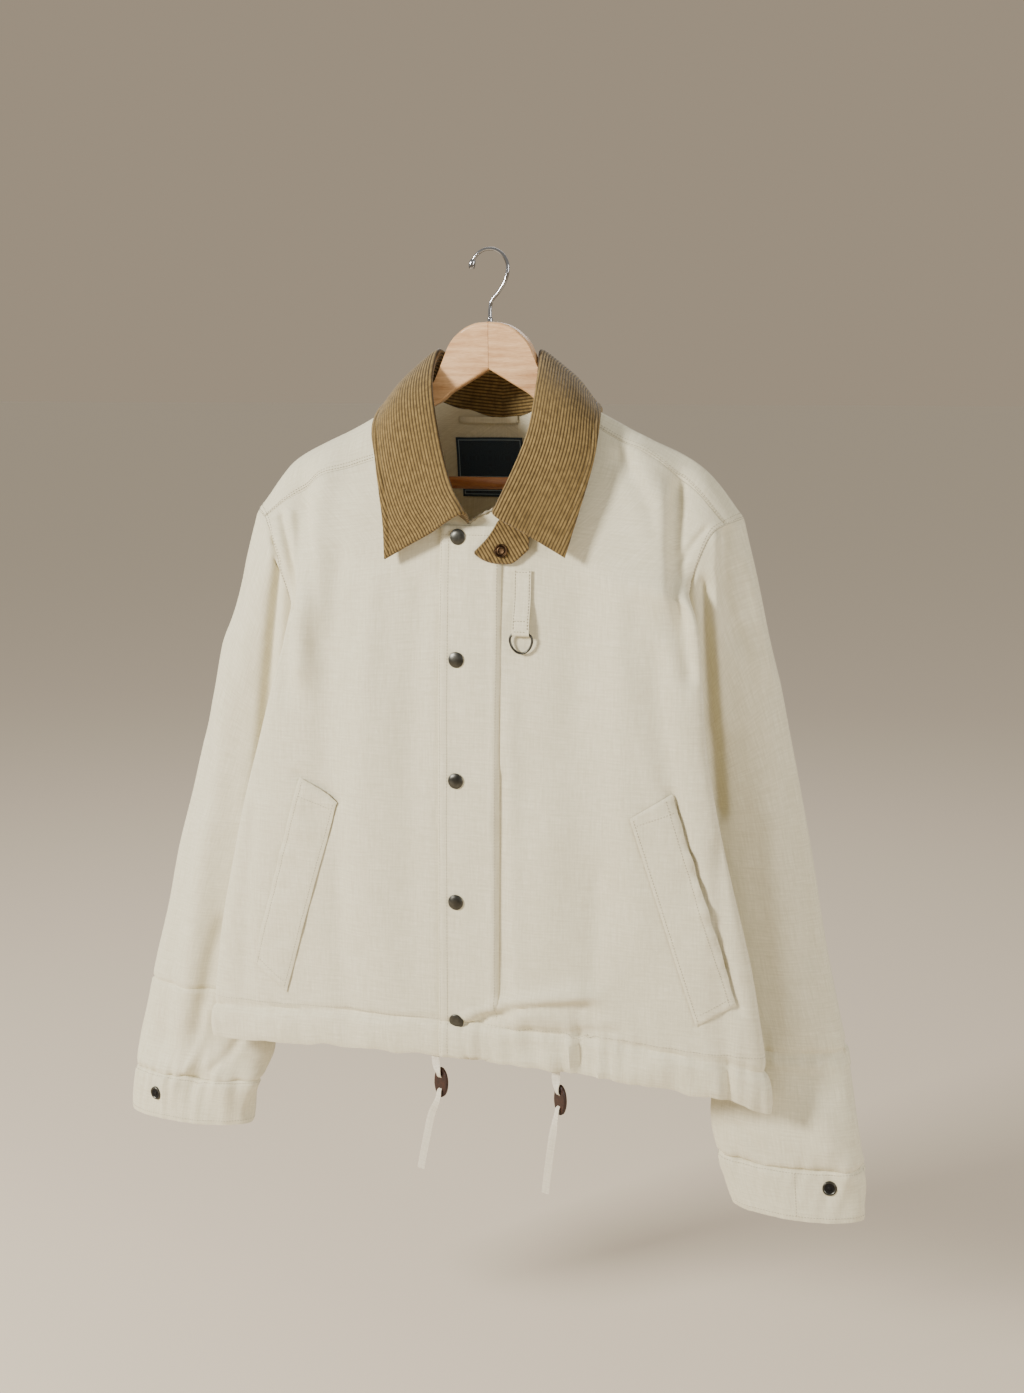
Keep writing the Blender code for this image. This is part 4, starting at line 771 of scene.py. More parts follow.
def rod(name, line, radii, skin, replaces=(), sides=20):
    """Round rod along a line that faces the front; radii give its half width at each point."""
    points = []
    for i, here in enumerate(line):
        along = line[min(i + 1, len(line) - 1)] - line[max(i - 1, 0)]
        across = np.cross(along, (0.0, 1.0, 0.0))
        across /= np.linalg.norm(across)
        for cosine, sine in circle(sides):
            points.append(here + radii[i] * (cosine * across + sine * np.array((0.0, 1.0, 0.0))))
    return add_piece(name, points, capped(len(line), sides), skin, replaces)


# a raw edge rolled into a thick twist; its dark patches are painted shade and its light ones painted
# highlight, so the turns show
FACING = cotton("twisted edge of the facing", linear("#5E5642"), linear("#C9C0A6"), 0.0030)
right_part = body_points(np.linspace(6.75, 6.02, 30), np.zeros(30), -1)
left_part = body_points(np.linspace(6.02, 6.95, 40), np.zeros(40), 1)
line = np.vstack([right_part, left_part])
for _ in range(12):
    line[1:-1] = (line[:-2] + 2 * line[1:-1] + line[2:]) / 4
line[:, 2] += 0.0006
rod("facing_edge", line, 0.0013 + 0.0004 * np.sin(np.arange(70) * 0.9), FACING)


# ---- Pocket welts --------------------------------------------------------------------------
# Slanted welts of the same cloth, stitched down all round, with a slit along their top.
POCKET_CORNERS = {
    -1: ((-0.1810, -0.5170), (-0.1400, -0.5400), (-0.2010, -0.7450), (-0.2390, -0.7170)),
    1: ((0.2010, -0.5070), (0.1640, -0.5310), (0.2300, -0.7330), (0.2660, -0.7110)),
}
WELT_THICKNESS = 0.0013
for side, name in ((-1, "pocket_welt_right"), (1, "pocket_welt_left")):
    rows, columns = 110, 22
    points, cloth = patch(POCKET_CORNERS[side], rows, columns)
    t = np.linspace(0, 1, rows)[:, None]
    s = np.linspace(0, 1, columns)[None, :]
    drawn_out = cloth[..., [0, 1, 1]].reshape(-1, 3) * (0.4, 1.0, 0)
    ripple = uneven(drawn_out, 0.016, 31 + side).reshape(rows, columns)
    height = (0.0009 * np.sin(math.pi * s) ** 0.6 * np.sin(math.pi * t) ** 0.2
              + 0.0006 * ripple * np.exp(-s / 0.25))
    if side > 0:
        height = height + 0.0042 * (1 + 0.4 * ripple) * np.exp(-(s / 0.12) ** 2) * np.sin(math.pi * t) ** 0.4
    else:
        height = height + 0.0020 * np.exp(-(t / 0.03) ** 2) * np.sin(math.pi * s) ** 0.4 + 0.0007 * ripple
    height = height - 0.0005 * (np.exp(-((s - 0.10) / 0.04) ** 2) + np.exp(-((s - 0.92) / 0.04) ** 2))
    piece = laid(name, points, cloth, WELT_THICKNESS, np.maximum(height, -0.0006))
    surface = surface_of(piece)
    a, b, c, d = np.array(POCKET_CORNERS[side])
    seams = ((a * 0.9 + b * 0.1, d * 0.9 + c * 0.1),
             (a * 0.08 + b * 0.92, d * 0.08 + c * 0.92),
             (a * 0.92 + d * 0.08, b * 0.96 + c * 0.04),
             (d * 0.96 + a * 0.04, c * 0.96 + b * 0.04))
    for start, end in seams:
        stops = np.linspace(0, 1, max(4, int(np.linalg.norm(end - start) / 0.004)))
        places = [start + (end - start) * t for t in stops]
        hits = [front_at(x, z, surface) for x, z in places
                if surface.ray_cast(Vector((x, -1.0, z)), Vector((0.0, 1.0, 0.0)))[0] is not None]
        if len(hits) > 3:
            stitch_row([h[0] for h in hits], [h[1] for h in hits])


# ---- Collar --------------------------------------------------------------------------------
# Tan corduroy, about eight wales to the inch, running along the collar. It stands at the back
# of the neck, rolls over and falls to two points.
COLLAR_CLOTH = 0.0026
COLLAR_ROWS = {
    # level, roll x, y, z, fall x, y, z, edge x, y, z
    -1: (
        (6.00, 0.0000, -0.0810, -0.2470, -0.0390, -0.0815, -0.2680, -0.0830, -0.0790, -0.2925),
        (7.30, -0.0200, -0.0700, -0.2140, -0.0530, -0.0720, -0.2290, -0.0900, -0.0690, -0.2440),
        (8.20, -0.0365, -0.0530, -0.1720, -0.0650, -0.0590, -0.1850, -0.1005, -0.0540, -0.2010),
        (9.20, -0.0520, -0.0270, -0.1250, -0.0780, -0.0340, -0.1380, -0.1125, -0.0300, -0.1660),
        (10.0, -0.0570, 0.0020, -0.0980, -0.0850, -0.0010, -0.1180, -0.1150, 0.0030, -0.1500),
        (11.6, -0.0450, 0.0310, -0.1050, -0.0700, 0.0440, -0.1270, -0.0930, 0.0510, -0.1640),
        (13.0, 0.0000, 0.0450, -0.1120, 0.0000, 0.0590, -0.1400, 0.0000, 0.0630, -0.1760),
    ),
    1: (
        (6.84, 0.0280, -0.0810, -0.2455, 0.0610, -0.0815, -0.2650, 0.0980, -0.0790, -0.2865),
        (7.50, 0.0430, -0.0690, -0.2090, 0.0740, -0.0710, -0.2240, 0.1105, -0.0680, -0.2390),
        (8.20, 0.0545, -0.0530, -0.1720, 0.0830, -0.0590, -0.1850, 0.1185, -0.0540, -0.2010),
        (9.20, 0.0560, -0.0270, -0.1250, 0.0835, -0.0340, -0.1370, 0.1180, -0.0300, -0.1650),
        (10.0, 0.0500, 0.0020, -0.0990, 0.0780, -0.0010, -0.1180, 0.1095, 0.0030, -0.1500),
        (11.6, 0.0400, 0.0310, -0.1050, 0.0640, 0.0440, -0.1270, 0.0880, 0.0510, -0.1640),
        (13.0, 0.0000, 0.0450, -0.1120, 0.0000, 0.0590, -0.1400, 0.0000, 0.0630, -0.1760),
    ),
}
COLLAR_SEAM_RISE = 0.0004
COLLAR_SECTIONS = 112
# the seam runs in a smooth line through the middle of the nape, given by y and z
NAPE_START = 12.2
NAPE_MIDDLE = (0.0370, -0.1615)
WALE = 0.0032
WALE_HEIGHT = 0.00055


def wale_height(distance):
    """Rounded ribs with narrow valleys; distance is measured across the ribs."""
    wave = np.abs(np.sin(math.pi * distance / WALE))
    return WALE_HEIGHT * (wave ** 0.55 - 0.7)


def corduroy(name, dark, light):
    """Cut pile: painted highlight on the wales' tops and painted shade in the valleys between them, uneven
    with wear over 6 mm, with a 0.7 mm nap.
    """
    made, tree, shader = material(name, 0.95, Sheen_Weight=0.35, Sheen_Roughness=0.45,
                                  Specular_IOR_Level=0.15)
    uv = node(tree, "ShaderNodeUVMap")
    split = node(tree, "ShaderNodeSeparateXYZ", {0: uv.outputs[0]})
    turns = node(tree, "ShaderNodeMath", {0: split.outputs[0]}, {1: math.pi / WALE}, operation="MULTIPLY")
    wave = node(tree, "ShaderNodeMath", {0: turns.outputs[0]}, operation="SINE")
    wale_light_and_shade = node(tree, "ShaderNodeMath", {0: wave.outputs[0]}, operation="ABSOLUTE")
    worn = node(tree, "ShaderNodeTexNoise", {"Vector": uv.outputs[0]},
                {"Scale": 160.0, "Detail": 5.0, "Roughness": 0.7})
    pile = node(tree, "ShaderNodeTexNoise", {"Vector": uv.outputs[0]}, {"Scale": 1400.0, "Detail": 2.0})
    # painted light and shade: lighter on each wale's top and darker in the valleys, varied by wear
    top = node(tree, "ShaderNodeMath", {0: wale_light_and_shade.outputs[0], 1: worn.outputs[0]}, {2: -0.08},
               operation="MULTIPLY_ADD")
    tone = node(tree, "ShaderNodeValToRGB", {0: top.outputs[0]}, stops=((0.04, dark), (0.52, light)))
    tree.links.new(tone.outputs[0], shader.inputs["Base Color"])
    bump = node(tree, "ShaderNodeBump", {"Height": pile.outputs[0]}, {"Strength": 0.5, "Distance": 0.0004})
    tree.links.new(bump.outputs[0], shader.inputs["Normal"])
    return made


CORDUROY = corduroy("tan corduroy", linear("#43341C"), linear("#8F7749"))
neck = {}
for side in (-1, 1):
    levels = np.linspace(COLLAR_ROWS[side][0][0] + 0.02, BACK_NECK, COLLAR_SECTIONS)
    hits = body_points(levels, np.zeros(COLLAR_SECTIONS), side)
    hits[:, 0] = np.where(np.abs(hits[:, 0]) < 1e-6, 0.0, hits[:, 0])
    near = [SURFACE.find_nearest(Vector(p)) for p in hits]
    lift = np.array([tuple(h[0]) for h in near])
    hits = np.where((np.linalg.norm(lift - hits, axis=1) < 0.012)[:, None], lift, hits)
    nape = levels > NAPE_START
    first = hits[np.argmax(nape)]
    middle = np.array((0.0, NAPE_MIDDLE[0], NAPE_MIDDLE[1]))
    t = ((levels[nape] - NAPE_START) / (BACK_NECK - NAPE_START))[:, None]
    hits[nape] = first + (middle - first) * np.column_stack([t, t, 1 - (1 - t) ** 2])
    for _ in range(6):
        hits[1:-1] = (hits[:-2] + 2 * hits[1:-1] + hits[2:]) / 4
    table = np.array(COLLAR_ROWS[side])
    row = through(table[:, 0], table[:, 1:], levels)
    section = np.concatenate([hits[:, None, :], row.reshape(-1, 3, 3)], axis=1)
    section[:, 0, 2] += COLLAR_SEAM_RISE
    neck[side] = section
sections = np.concatenate([neck[-1], neck[1][-2::-1]])
columns = 210
stand = columns // 3
index = np.concatenate([np.linspace(0, 1, stand, endpoint=False), np.linspace(1, 3, columns - stand)])
grid = np.array([curves_at(np.repeat(s[:, None, :], columns, axis=1), index) for s in sections])
run = np.cumsum(np.linalg.norm(np.diff(grid, axis=1, prepend=grid[:, :1]), axis=2), axis=1)
roll = run[:, stand][:, None]
from_roll = run - roll
faces = grid_quads(*grid.shape[:2])
flat = grid.reshape(-1, 3)
normals = normals_of(flat, faces)
to_edge = (run[:, -1:] - run).ravel()
ribs = wale_height(from_roll.ravel() + 0.0008 * uneven(flat, 0.09, 41))
end_gap = np.minimum(np.arange(len(sections)), np.arange(len(sections))[::-1]) * 0.0040
edge_gap = np.minimum(to_edge, np.repeat(end_gap, columns))
# the edge stitching 6.5 mm in pulls a groove and leaves a soft roll outside it
quilt = (0.0007 * np.sin(np.clip(edge_gap / 0.0065, 0, 1) * math.pi)
         - 0.0006 * np.exp(-((edge_gap - 0.0065) / 0.0012) ** 2))
waves = 0.0010 * uneven(flat, 0.050, 43) * np.clip(from_roll.ravel() / 0.03, 0, 1)
outward = np.sign(np.sum(normals[columns - 5] * (0, -1, 0.3)))
high = COLLAR_CLOTH / 2 + ribs + quilt
low = -COLLAR_CLOTH / 2 - ribs * 0.8
moved_points = flat + normals * (waves * outward)[:, None]
top_side, bottom_side = (high, low) if outward > 0 else (-low, -high)
cord_uv = np.stack([from_roll.ravel(), np.repeat(np.arange(len(sections)) * 0.0030, columns)], axis=1)
piece = sewn("collar", moved_points, normals, faces, bottom_side, top_side, cord_uv, CORDUROY, "corduroy")


# ---- Throat tab and its button -------------------------------------------------------------
# A tab of two layers of the collar's corduroy that comes from under its left leaf and closes the
# throat. A ringed bronze button with a shank holds its round end.
TAB_ROWS = (
    # x, upper z, lower z
    (0.0071, -0.2822, -0.2848), (0.0128, -0.2765, -0.2890), (0.0198, -0.2690, -0.2920),
    (0.0265, -0.2590, -0.2934), (0.0310, -0.2520, -0.2938), (0.0370, -0.2500, -0.2939),
    (0.0440, -0.2545, -0.2930), (0.0520, -0.2595, -0.2872), (0.0600, -0.2650, -0.2795),
)
TAB_LIFT, TAB_THICKNESS = 0.0037, 0.0024
TAB_WALE_TURN = 0.55
BUTTON_PLACE = (0.0340, -0.2815)
BUTTON_RADIUS, BUTTON_HEIGHT = 0.0066, 0.0026
table = np.array(TAB_ROWS)
along = np.linspace(0, 1, 120)
edges = through(lengths_along(table) / lengths_along(table)[-1], table, along)
rows, columns = len(along), 60
x, upper, lower = edges[:, :1], edges[:, 1:2], edges[:, 2:]
heights = upper + (lower - upper) * np.arange(columns) / (columns - 1)
points = front_grid(np.stack(np.broadcast_arrays(x, heights), axis=2))
points[..., 1] = (points[..., 1] + points[..., 1].min(axis=1, keepdims=True)) / 2
cosine, sine = math.cos(TAB_WALE_TURN), math.sin(TAB_WALE_TURN)
across_tab = points[..., 0] * cosine + points[..., 2] * sine
flat = points.reshape(-1, 3)
faces = grid_quads(rows, columns)
rim = np.minimum(points[..., 2] - lower, upper - points[..., 2])
rim = np.clip(np.minimum(rim, points[..., 0] - edges[0, 0]), 0, 0.02).ravel()
height = wale_height(across_tab.ravel()) + 0.0006 * np.sin(np.clip(rim / 0.0045, 0, 1) * math.pi) \
    - 0.0012 * np.exp(-rim / 0.0010)
tab_uv = np.stack([across_tab, points[..., 0] * -sine + points[..., 2] * cosine], axis=-1).reshape(-1, 2)
sewn("throat_tab", flat, front_normals(flat, faces), faces, TAB_LIFT, TAB_LIFT + TAB_THICKNESS + height,
     tab_uv, CORDUROY, "corduroy")


def turned(name, profile, centre, axis, skin, slot, replaces, sides=48):
    """Solid of revolution: profile holds radius and height along axis, from base to top."""
    axis = Vector(axis).normalized()
    turn = Vector((0, 0, 1)).rotation_difference(axis).to_matrix()
    points = []
    for radius, height in profile:
        for cosine, sine in circle(sides):
            points.append(Vector(centre) + turn @ Vector((radius * cosine, radius * sine, height)))
    return add_piece(name, points, capped(len(profile), sides), skin, replaces, sharp=50)


def plated(name, dark, light, roughness):
    """Brass with a dark plating, rubbed lighter and shinier in clouds about 6 mm wide."""
    made, tree, shader = material(name, roughness, 1.0)
    place = node(tree, "ShaderNodeTexCoord")
    cloud = node(tree, "ShaderNodeTexNoise", {"Vector": place.outputs["Object"]},
                 {"Scale": 160.0, "Detail": 2.0})
    tone = node(tree, "ShaderNodeValToRGB", {0: cloud.outputs[0]}, stops=((0.35, dark), (0.75, light)))
    tree.links.new(tone.outputs[0], shader.inputs["Base Color"])
    rub = node(tree, "ShaderNodeMapRange", {0: cloud.outputs[0]}, {3: roughness - 0.08, 4: roughness + 0.12})
    tree.links.new(rub.outputs[0], shader.inputs["Roughness"])
    return made


GUNMETAL = plated("gunmetal plated brass", linear("#45443F"), linear("#5B5A54"), 0.34)
BRONZE = plated("dark bronze", linear("#3A2A1D"), linear("#7C6248"), 0.40)
# unpolished, and near-black as painted shade, so it reads as a hole
SOCKET_PAINTED_SHADE = material("dark inside of a snap", 0.6, 0.6, Base_Color=(*linear("#151412"), 1))[0]
place, normal = front_at(*BUTTON_PLACE)
place = place + normal * (TAB_LIFT + TAB_THICKNESS + 0.0005)
RINGED = ((0.95, 0.0), (1.0, 0.3), (0.98, 0.75), (0.92, 1.0), (0.84, 1.0), (0.76, 0.6), (0.62, 0.45),
          (0.56, 0.75), (0.46, 0.8), (0.40, 0.5), (0.22, 0.42), (0.05, 0.42))
turned("tab_button_bronze", [(BUTTON_RADIUS * r, BUTTON_HEIGHT * h) for r, h in RINGED], place, normal,
       BRONZE, "button", ("tab_button",))


# ---- Snaps ---------------------------------------------------------------------------------
# Five domed caps of plated brass, pressed through the storm flap and closed, and a ring socket
# pressed through each cuff, open, with its middle painted dark as shade.
SNAP_RADIUS, SNAP_HEIGHT, SNAP_X = 0.0078, 0.0028, -0.0105
SNAP_HEIGHTS = (-0.2690, -0.3870, -0.5060, -0.6280, -0.7510)
CUFF_SNAP_PLACES = {-1: (-0.3822, -0.8966), 1: (0.3556, -0.9059)}
CUFF_SNAP_RADIUS, CUFF_SNAP_HEIGHT = 0.0074, 0.0020
CAP = ((0.90, -0.15), (0.985, 0.05), (1.0, 0.24), (0.97, 0.44), (0.90, 0.56), (0.85, 0.58), (0.80, 0.64),
       (0.62, 0.84), (0.42, 0.94), (0.22, 0.99), (0.04, 1.0))
SOCKET = ((1.0, -0.2), (1.0, 0.45), (0.95, 0.8), (0.86, 1.0), (0.74, 0.9), (0.66, 0.5), (0.60, 0.2))
CORE = ((0.72, 0.0), (0.72, 0.60), (0.30, 0.5), (0.26, 0.75), (0.20, 0.9), (0.05, 0.9))
for number, height in enumerate(SNAP_HEIGHTS, 1):
    place, normal = front_at(SNAP_X, height, FLAP_SURFACE)
    turned(f"front_snap_cap_{number}", [(SNAP_RADIUS * r, SNAP_HEIGHT * h) for r, h in CAP],
           place + normal * 0.0004, (normal[0] * 0.4, normal[1], normal[2] * 0.4), GUNMETAL, "gunmetal",
           (f"front_snap_{number}",))
for side, name in ((-1, "cuff_snap_right"), (1, "cuff_snap_left")):
    place, normal = front_at(*CUFF_SNAP_PLACES[side])
    place = place + normal * 0.0004
    parts = (("ring", SOCKET, GUNMETAL, (name,)), ("core", CORE, SOCKET_PAINTED_SHADE, ()))
    for part, shares, skin, stands_for in parts:
        profile = [(CUFF_SNAP_RADIUS * r, CUFF_SNAP_HEIGHT * h) for r, h in shares]
        turned(f"{name}_{part}", profile, place, normal, skin, "gunmetal", stands_for)


# ---- Ring tab and D-ring -------------------------------------------------------------------
# A strip of the jacket's cloth, edge-stitched in brown thread and turned up around the bar of a
# small wire D-ring, which swings on that bar.
RING_AXIS = (0.0546, -0.0779, -0.3590)
RING_WIRE, RING_BAR_HALF, RING_BOW_HALF, RING_SHOULDER, RING_DROP = 0.0012, 0.0102, 0.0114, 0.0045, 0.0190
RING_TAB_HALF_WIDTH, RING_TAB_TOP, RING_TAB_THICKNESS = 0.0084, -0.2990, 0.0011
RING_TAB_LEAVES, RING_TAB_TURN_UP = 0.0360, 0.0120
axis_x, axis_y, axis_z = RING_AXIS
half = RING_TAB_THICKNESS / 2
bend = RING_WIRE + 0.0004 + half
edges = (axis_x - RING_TAB_HALF_WIDTH, axis_x, axis_x + RING_TAB_HALF_WIDTH)
profile = []
for z in np.linspace(RING_TAB_TOP, axis_z, 30, endpoint=False):
    chest = min(front_at(x, z)[0][1] for x in edges) - LAID_GAP - half
    t = max(0.0, 1 - (z - axis_z) / RING_TAB_LEAVES)
    away = t * t * (3 - 2 * t)
    profile.append((chest * (1 - away) + (axis_y - bend) * away, z))
for angle in np.linspace(0, math.pi, 13):
    profile.append((axis_y - bend * math.cos(angle), axis_z - bend * math.sin(angle)))
for z in np.linspace(axis_z, axis_z + RING_TAB_TURN_UP, 8)[1:]:
    profile.append((min(front_at(x, z)[0][1] for x in edges) - LAID_GAP - half, z))
columns = 13
wide = np.linspace(-1, 1, columns)
points = np.array([[(axis_x + RING_TAB_HALF_WIDTH * w, y, z) for w in wide] for y, z in profile])
tab_run = lengths_along(points[:, 0])
flat = points.reshape(-1, 3)
faces = grid_quads(len(profile), columns)
normals = normals_of(flat, faces)
first_out = 1 if normals[columns // 2][1] < 0 else -1
normals *= first_out
groove = np.tile(-0.00025 * np.exp(-((np.abs(wide) - 0.80) / 0.08) ** 2), len(profile))
strip_uv = np.stack([flat[:, 0], np.repeat(tab_run, columns)], axis=1)
sewn("ring_tab", flat, normals, faces, -half, half + groove, strip_uv, soft=0.0002)
TAB_STITCHES = {"points": [], "faces": []}
rows_down = [np.arange(30) * columns + w for w in (1, columns - 2)]
rows_across = [r * columns + np.arange(1, columns - 1) for r in (1, 24, 29)]
for chosen in rows_down + rows_across:
    stitch_row(flat[chosen] + normals[chosen] * half, normals[chosen], TAB_STITCHES)
# spun thread with a dull sheen, darker than the cloth, so its line shows
BROWN_THREAD = material("brown thread", 0.7, Sheen_Weight=0.2, Base_Color=(*linear("#8C8068"), 1))[0]
add_piece("ring_tab_stitching", TAB_STITCHES["points"], TAB_STITCHES["faces"], BROWN_THREAD)

route = [(RING_BAR_HALF * s, 0.0) for s in np.linspace(-1, 1, 10)]
for angle in np.linspace(0, math.pi, 40):
    route.append((RING_BOW_HALF * math.cos(angle),
                  -RING_SHOULDER - (RING_DROP - RING_SHOULDER) * math.sin(angle)))
line = np.array([(x, 0.0, z) for x, z in route])
for _ in range(3):
    line = (np.roll(line, 1, axis=0) + 2 * line + np.roll(line, -1, axis=0)) / 4
sides = 14
points = []
for before, here, after in zip(np.roll(line, 1, axis=0), line, np.roll(line, -1, axis=0)):
    across = np.cross(after - before, (0.0, 1.0, 0.0))
    across /= np.linalg.norm(across)
    for cosine, sine in circle(sides):
        around = cosine * across + sine * np.array((0, 1, 0))
        points.append(np.array(RING_AXIS) + here + RING_WIRE * around)
faces = [tuple(f) for f in grid_quads(len(line), sides, closed=True)]
last = len(points) - sides
faces += [(last + k, last + (k + 1) % sides, (k + 1) % sides, k) for k in range(sides)]
add_piece("d_ring_wire", points, faces, GUNMETAL, ("d_ring",), body="ring")


# ---- Inside the back neck ------------------------------------------------------------------
# A woven navy label with a thin border and a blank field, a small second label under it, and a
# hanging loop of folded cloth, all sewn to the inside of the back.
NECK_PIECES = {
    # left, right, top, bottom, thickness
    "hanging_loop": (-0.0460, 0.0160, -0.1585, -0.1645, 0.0012),
    "neck_label": (-0.0505, 0.0196, -0.1800, -0.2225, 0.0006),
    "size_label": (-0.0455, -0.0004, -0.2312, -0.2402, 0.0006),
}
# damask weave of fine navy yarn, slightly shiny, with one lighter line 2.6 mm inside its edge
LABEL, tree, shader = material("navy woven label", 0.75, Sheen_Weight=0.3, Specular_IOR_Level=0.3)
uv = node(tree, "ShaderNodeUVMap")
split = node(tree, "ShaderNodeSeparateXYZ", {0: uv.outputs[0]})
near_edge = node(tree, "ShaderNodeMath", {0: split.outputs[0], 1: split.outputs[1]}, operation="MINIMUM")
off_line = node(tree, "ShaderNodeMath", {0: near_edge.outputs[0]}, {1: 0.0026}, operation="SUBTRACT")
line_size = node(tree, "ShaderNodeMath", {0: off_line.outputs[0]}, operation="ABSOLUTE")
on_line = node(tree, "ShaderNodeMath", {0: line_size.outputs[0]}, {1: 0.00035}, operation="LESS_THAN")
threads = node(tree, "ShaderNodeTexNoise", {"Vector": uv.outputs[0]}, {"Scale": 900.0, "Detail": 2.0})
navy = node(tree, "ShaderNodeValToRGB", {0: threads.outputs[0]},
            stops=((0.3, linear("#222E38")), (0.7, linear("#33424E"))))
mixed = node(tree, "ShaderNodeMix", {0: on_line.outputs[0], 6: navy.outputs[0]},
             {7: (*linear("#8FA0A8"), 1)}, data_type="RGBA")
tree.links.new(mixed.outputs[2], shader.inputs["Base Color"])
for name, (left, right, top, bottom, thickness) in NECK_PIECES.items():
    rows, columns = 12, 36
    points = np.empty((rows, columns, 3))
    edge_uv = np.empty((rows, columns, 2))
    for r, z in enumerate(np.linspace(top, bottom, rows)):
        for k, x in enumerate(np.linspace(left, right, columns)):
            points[r, k] = SURFACE.ray_cast(Vector((x, 0.01, z)), Vector((0.0, 1.0, 0.0)))[0]
            edge_uv[r, k] = (min(x - left, right - x), min(top - z, z - bottom))
    flat = points.reshape(-1, 3)
    faces = grid_quads(rows, columns)
    normals = front_normals(flat, faces)
    start = CLOTH + LAID_GAP
    sag, skin, slot = 0.0, LABEL, "label"
    if name == "hanging_loop":
        middle = 1 - (2 * np.linspace(0, 1, columns) - 1) ** 4
        flat[:, 2] -= np.tile(0.0006 * middle, rows)
        sag, skin, slot = np.tile(0.0032 * middle, rows), COTTON, "cotton"
    sewn(name, flat, normals, faces, start + sag, start + thickness + sag, edge_uv.reshape(-1, 2), skin, slot,
         soft=0.0002)


# ---- Hanger --------------------------------------------------------------------------------
# Two flat arms of beech, joined in the middle, sanded round and clear lacquered, with a turned
# and stained bar between them and a chromed wire hook.
HUMP_TOP, BAR_Z, BAR_RADIUS, BAR_HALF, HANGER_HALF_THICKNESS = -0.0670, -0.2230, 0.0060, 0.1834, 0.0070
HOOK_RADIUS, HOOK_WIRE = 0.0185, 0.00175
FLATNESS = 1.25           # a circle this much larger than the arm's edge leaves its faces flat
HANGER_ROWS = (
    # x, top z, bottom z
    (0.0002, HUMP_TOP, -0.1125), (0.0150, -0.0688, -0.1210), (0.0300, -0.0765, -0.1297),
    (0.0420, -0.0900, -0.1370), (0.0490, -0.1060, -0.1430), (0.0570, -0.1230, -0.1470),
    (0.0700, -0.1378, -0.1540), (0.0850, -0.1453, -0.1640), (0.1100, -0.1583, -0.1780),
    (0.1450, -0.1762, -0.1990), (0.1750, -0.1893, -0.2125), (0.1838, -0.1937, -0.2160),
    (0.1843, -0.1940, -0.2370), (0.1990, -0.2020, -0.2390), (0.2080, -0.2086, -0.2360),
    (0.2130, -0.2165, -0.2300),
)


def wood(name, dark, light, across, coat):
    """Lacquered wood with growth lines 4 mm apart along X and short pores 0.6 mm apart."""
    made, tree, shader = material(name, 0.42, Coat_Weight=coat, Coat_Roughness=0.18)
    place = node(tree, "ShaderNodeTexCoord")
    lined = node(tree, "ShaderNodeMapping", {"Vector": place.outputs["Object"]},
                 {"Scale": (6, 60, 60), "Rotation": (0, across, 0)})
    grain = node(tree, "ShaderNodeTexNoise", {"Vector": lined.outputs[0]},
                 {"Scale": 4.0, "Detail": 5.0, "Distortion": 0.4})
    pored = node(tree, "ShaderNodeMapping", {"Vector": place.outputs["Object"]},
                 {"Scale": (90, 900, 900), "Rotation": (0, across, 0)})
    pores = node(tree, "ShaderNodeTexNoise", {"Vector": pored.outputs[0]}, {"Scale": 2.0, "Detail": 2.0})
    mixed = node(tree, "ShaderNodeMix", {2: grain.outputs[0], 3: pores.outputs[0]}, {0: 0.35})
    tone = node(tree, "ShaderNodeValToRGB", {0: mixed.outputs[0]}, stops=((0.32, dark), (0.66, light)))
    tree.links.new(tone.outputs[0], shader.inputs["Base Color"])
    bump = node(tree, "ShaderNodeBump", {"Height": pores.outputs[0]}, {"Strength": 0.15, "Distance": 0.0002})
    tree.links.new(bump.outputs[0], shader.inputs["Normal"])
    return made


table = np.array(HANGER_ROWS)
stops = np.concatenate([np.linspace(table[0, 0], table[11, 0], 90),
                        np.linspace(table[12, 0], table[15, 0], 24)])
edges = np.concatenate([through(table[:12, 0], table[:12, 1:], stops[:90]),
                        through(table[12:, 0], table[12:, 1:], stops[90:])])
sides = 36
for side, name, tilt in ((-1, "hanger_half_right", 0.62), (1, "hanger_half_left", -0.62)):
    beech = wood(f"lacquered beech {'left' if side < 0 else 'right'} grain",
                 linear("#B68452"), linear("#E4B988"), tilt, 0.3)
    points = []
    for x, (top, bottom) in zip(stops, edges):
        soft = min(HANGER_HALF_THICKNESS, 0.42 * (top - bottom))
        for cosine, sine in circle(sides, 0.5):
            y, up = np.clip((FLATNESS * sine, FLATNESS * cosine), -1.0, 1.0)
            edge = (top - soft) if up > 0 else (bottom + soft)
            points.append((side * x, HANGER_HALF_THICKNESS * y, edge + soft * up))
    add_piece(f"{name}_beech", points, capped(len(stops), sides), beech, (name,), sharp=40)
BAR = ((BAR_RADIUS - 0.0008, -BAR_HALF), (BAR_RADIUS, -BAR_HALF + 0.0008),
       (BAR_RADIUS, BAR_HALF - 0.0008), (BAR_RADIUS - 0.0008, BAR_HALF))
turned("hanger_bar_wood", BAR, (0.0, 0.0, BAR_Z), (1.0, 0.0, 0.0),
       wood("stained bar", linear("#9A5224"), linear("#CB8A50"), 0.0, 0.5), "bar_wood", ("hanger_bar",))
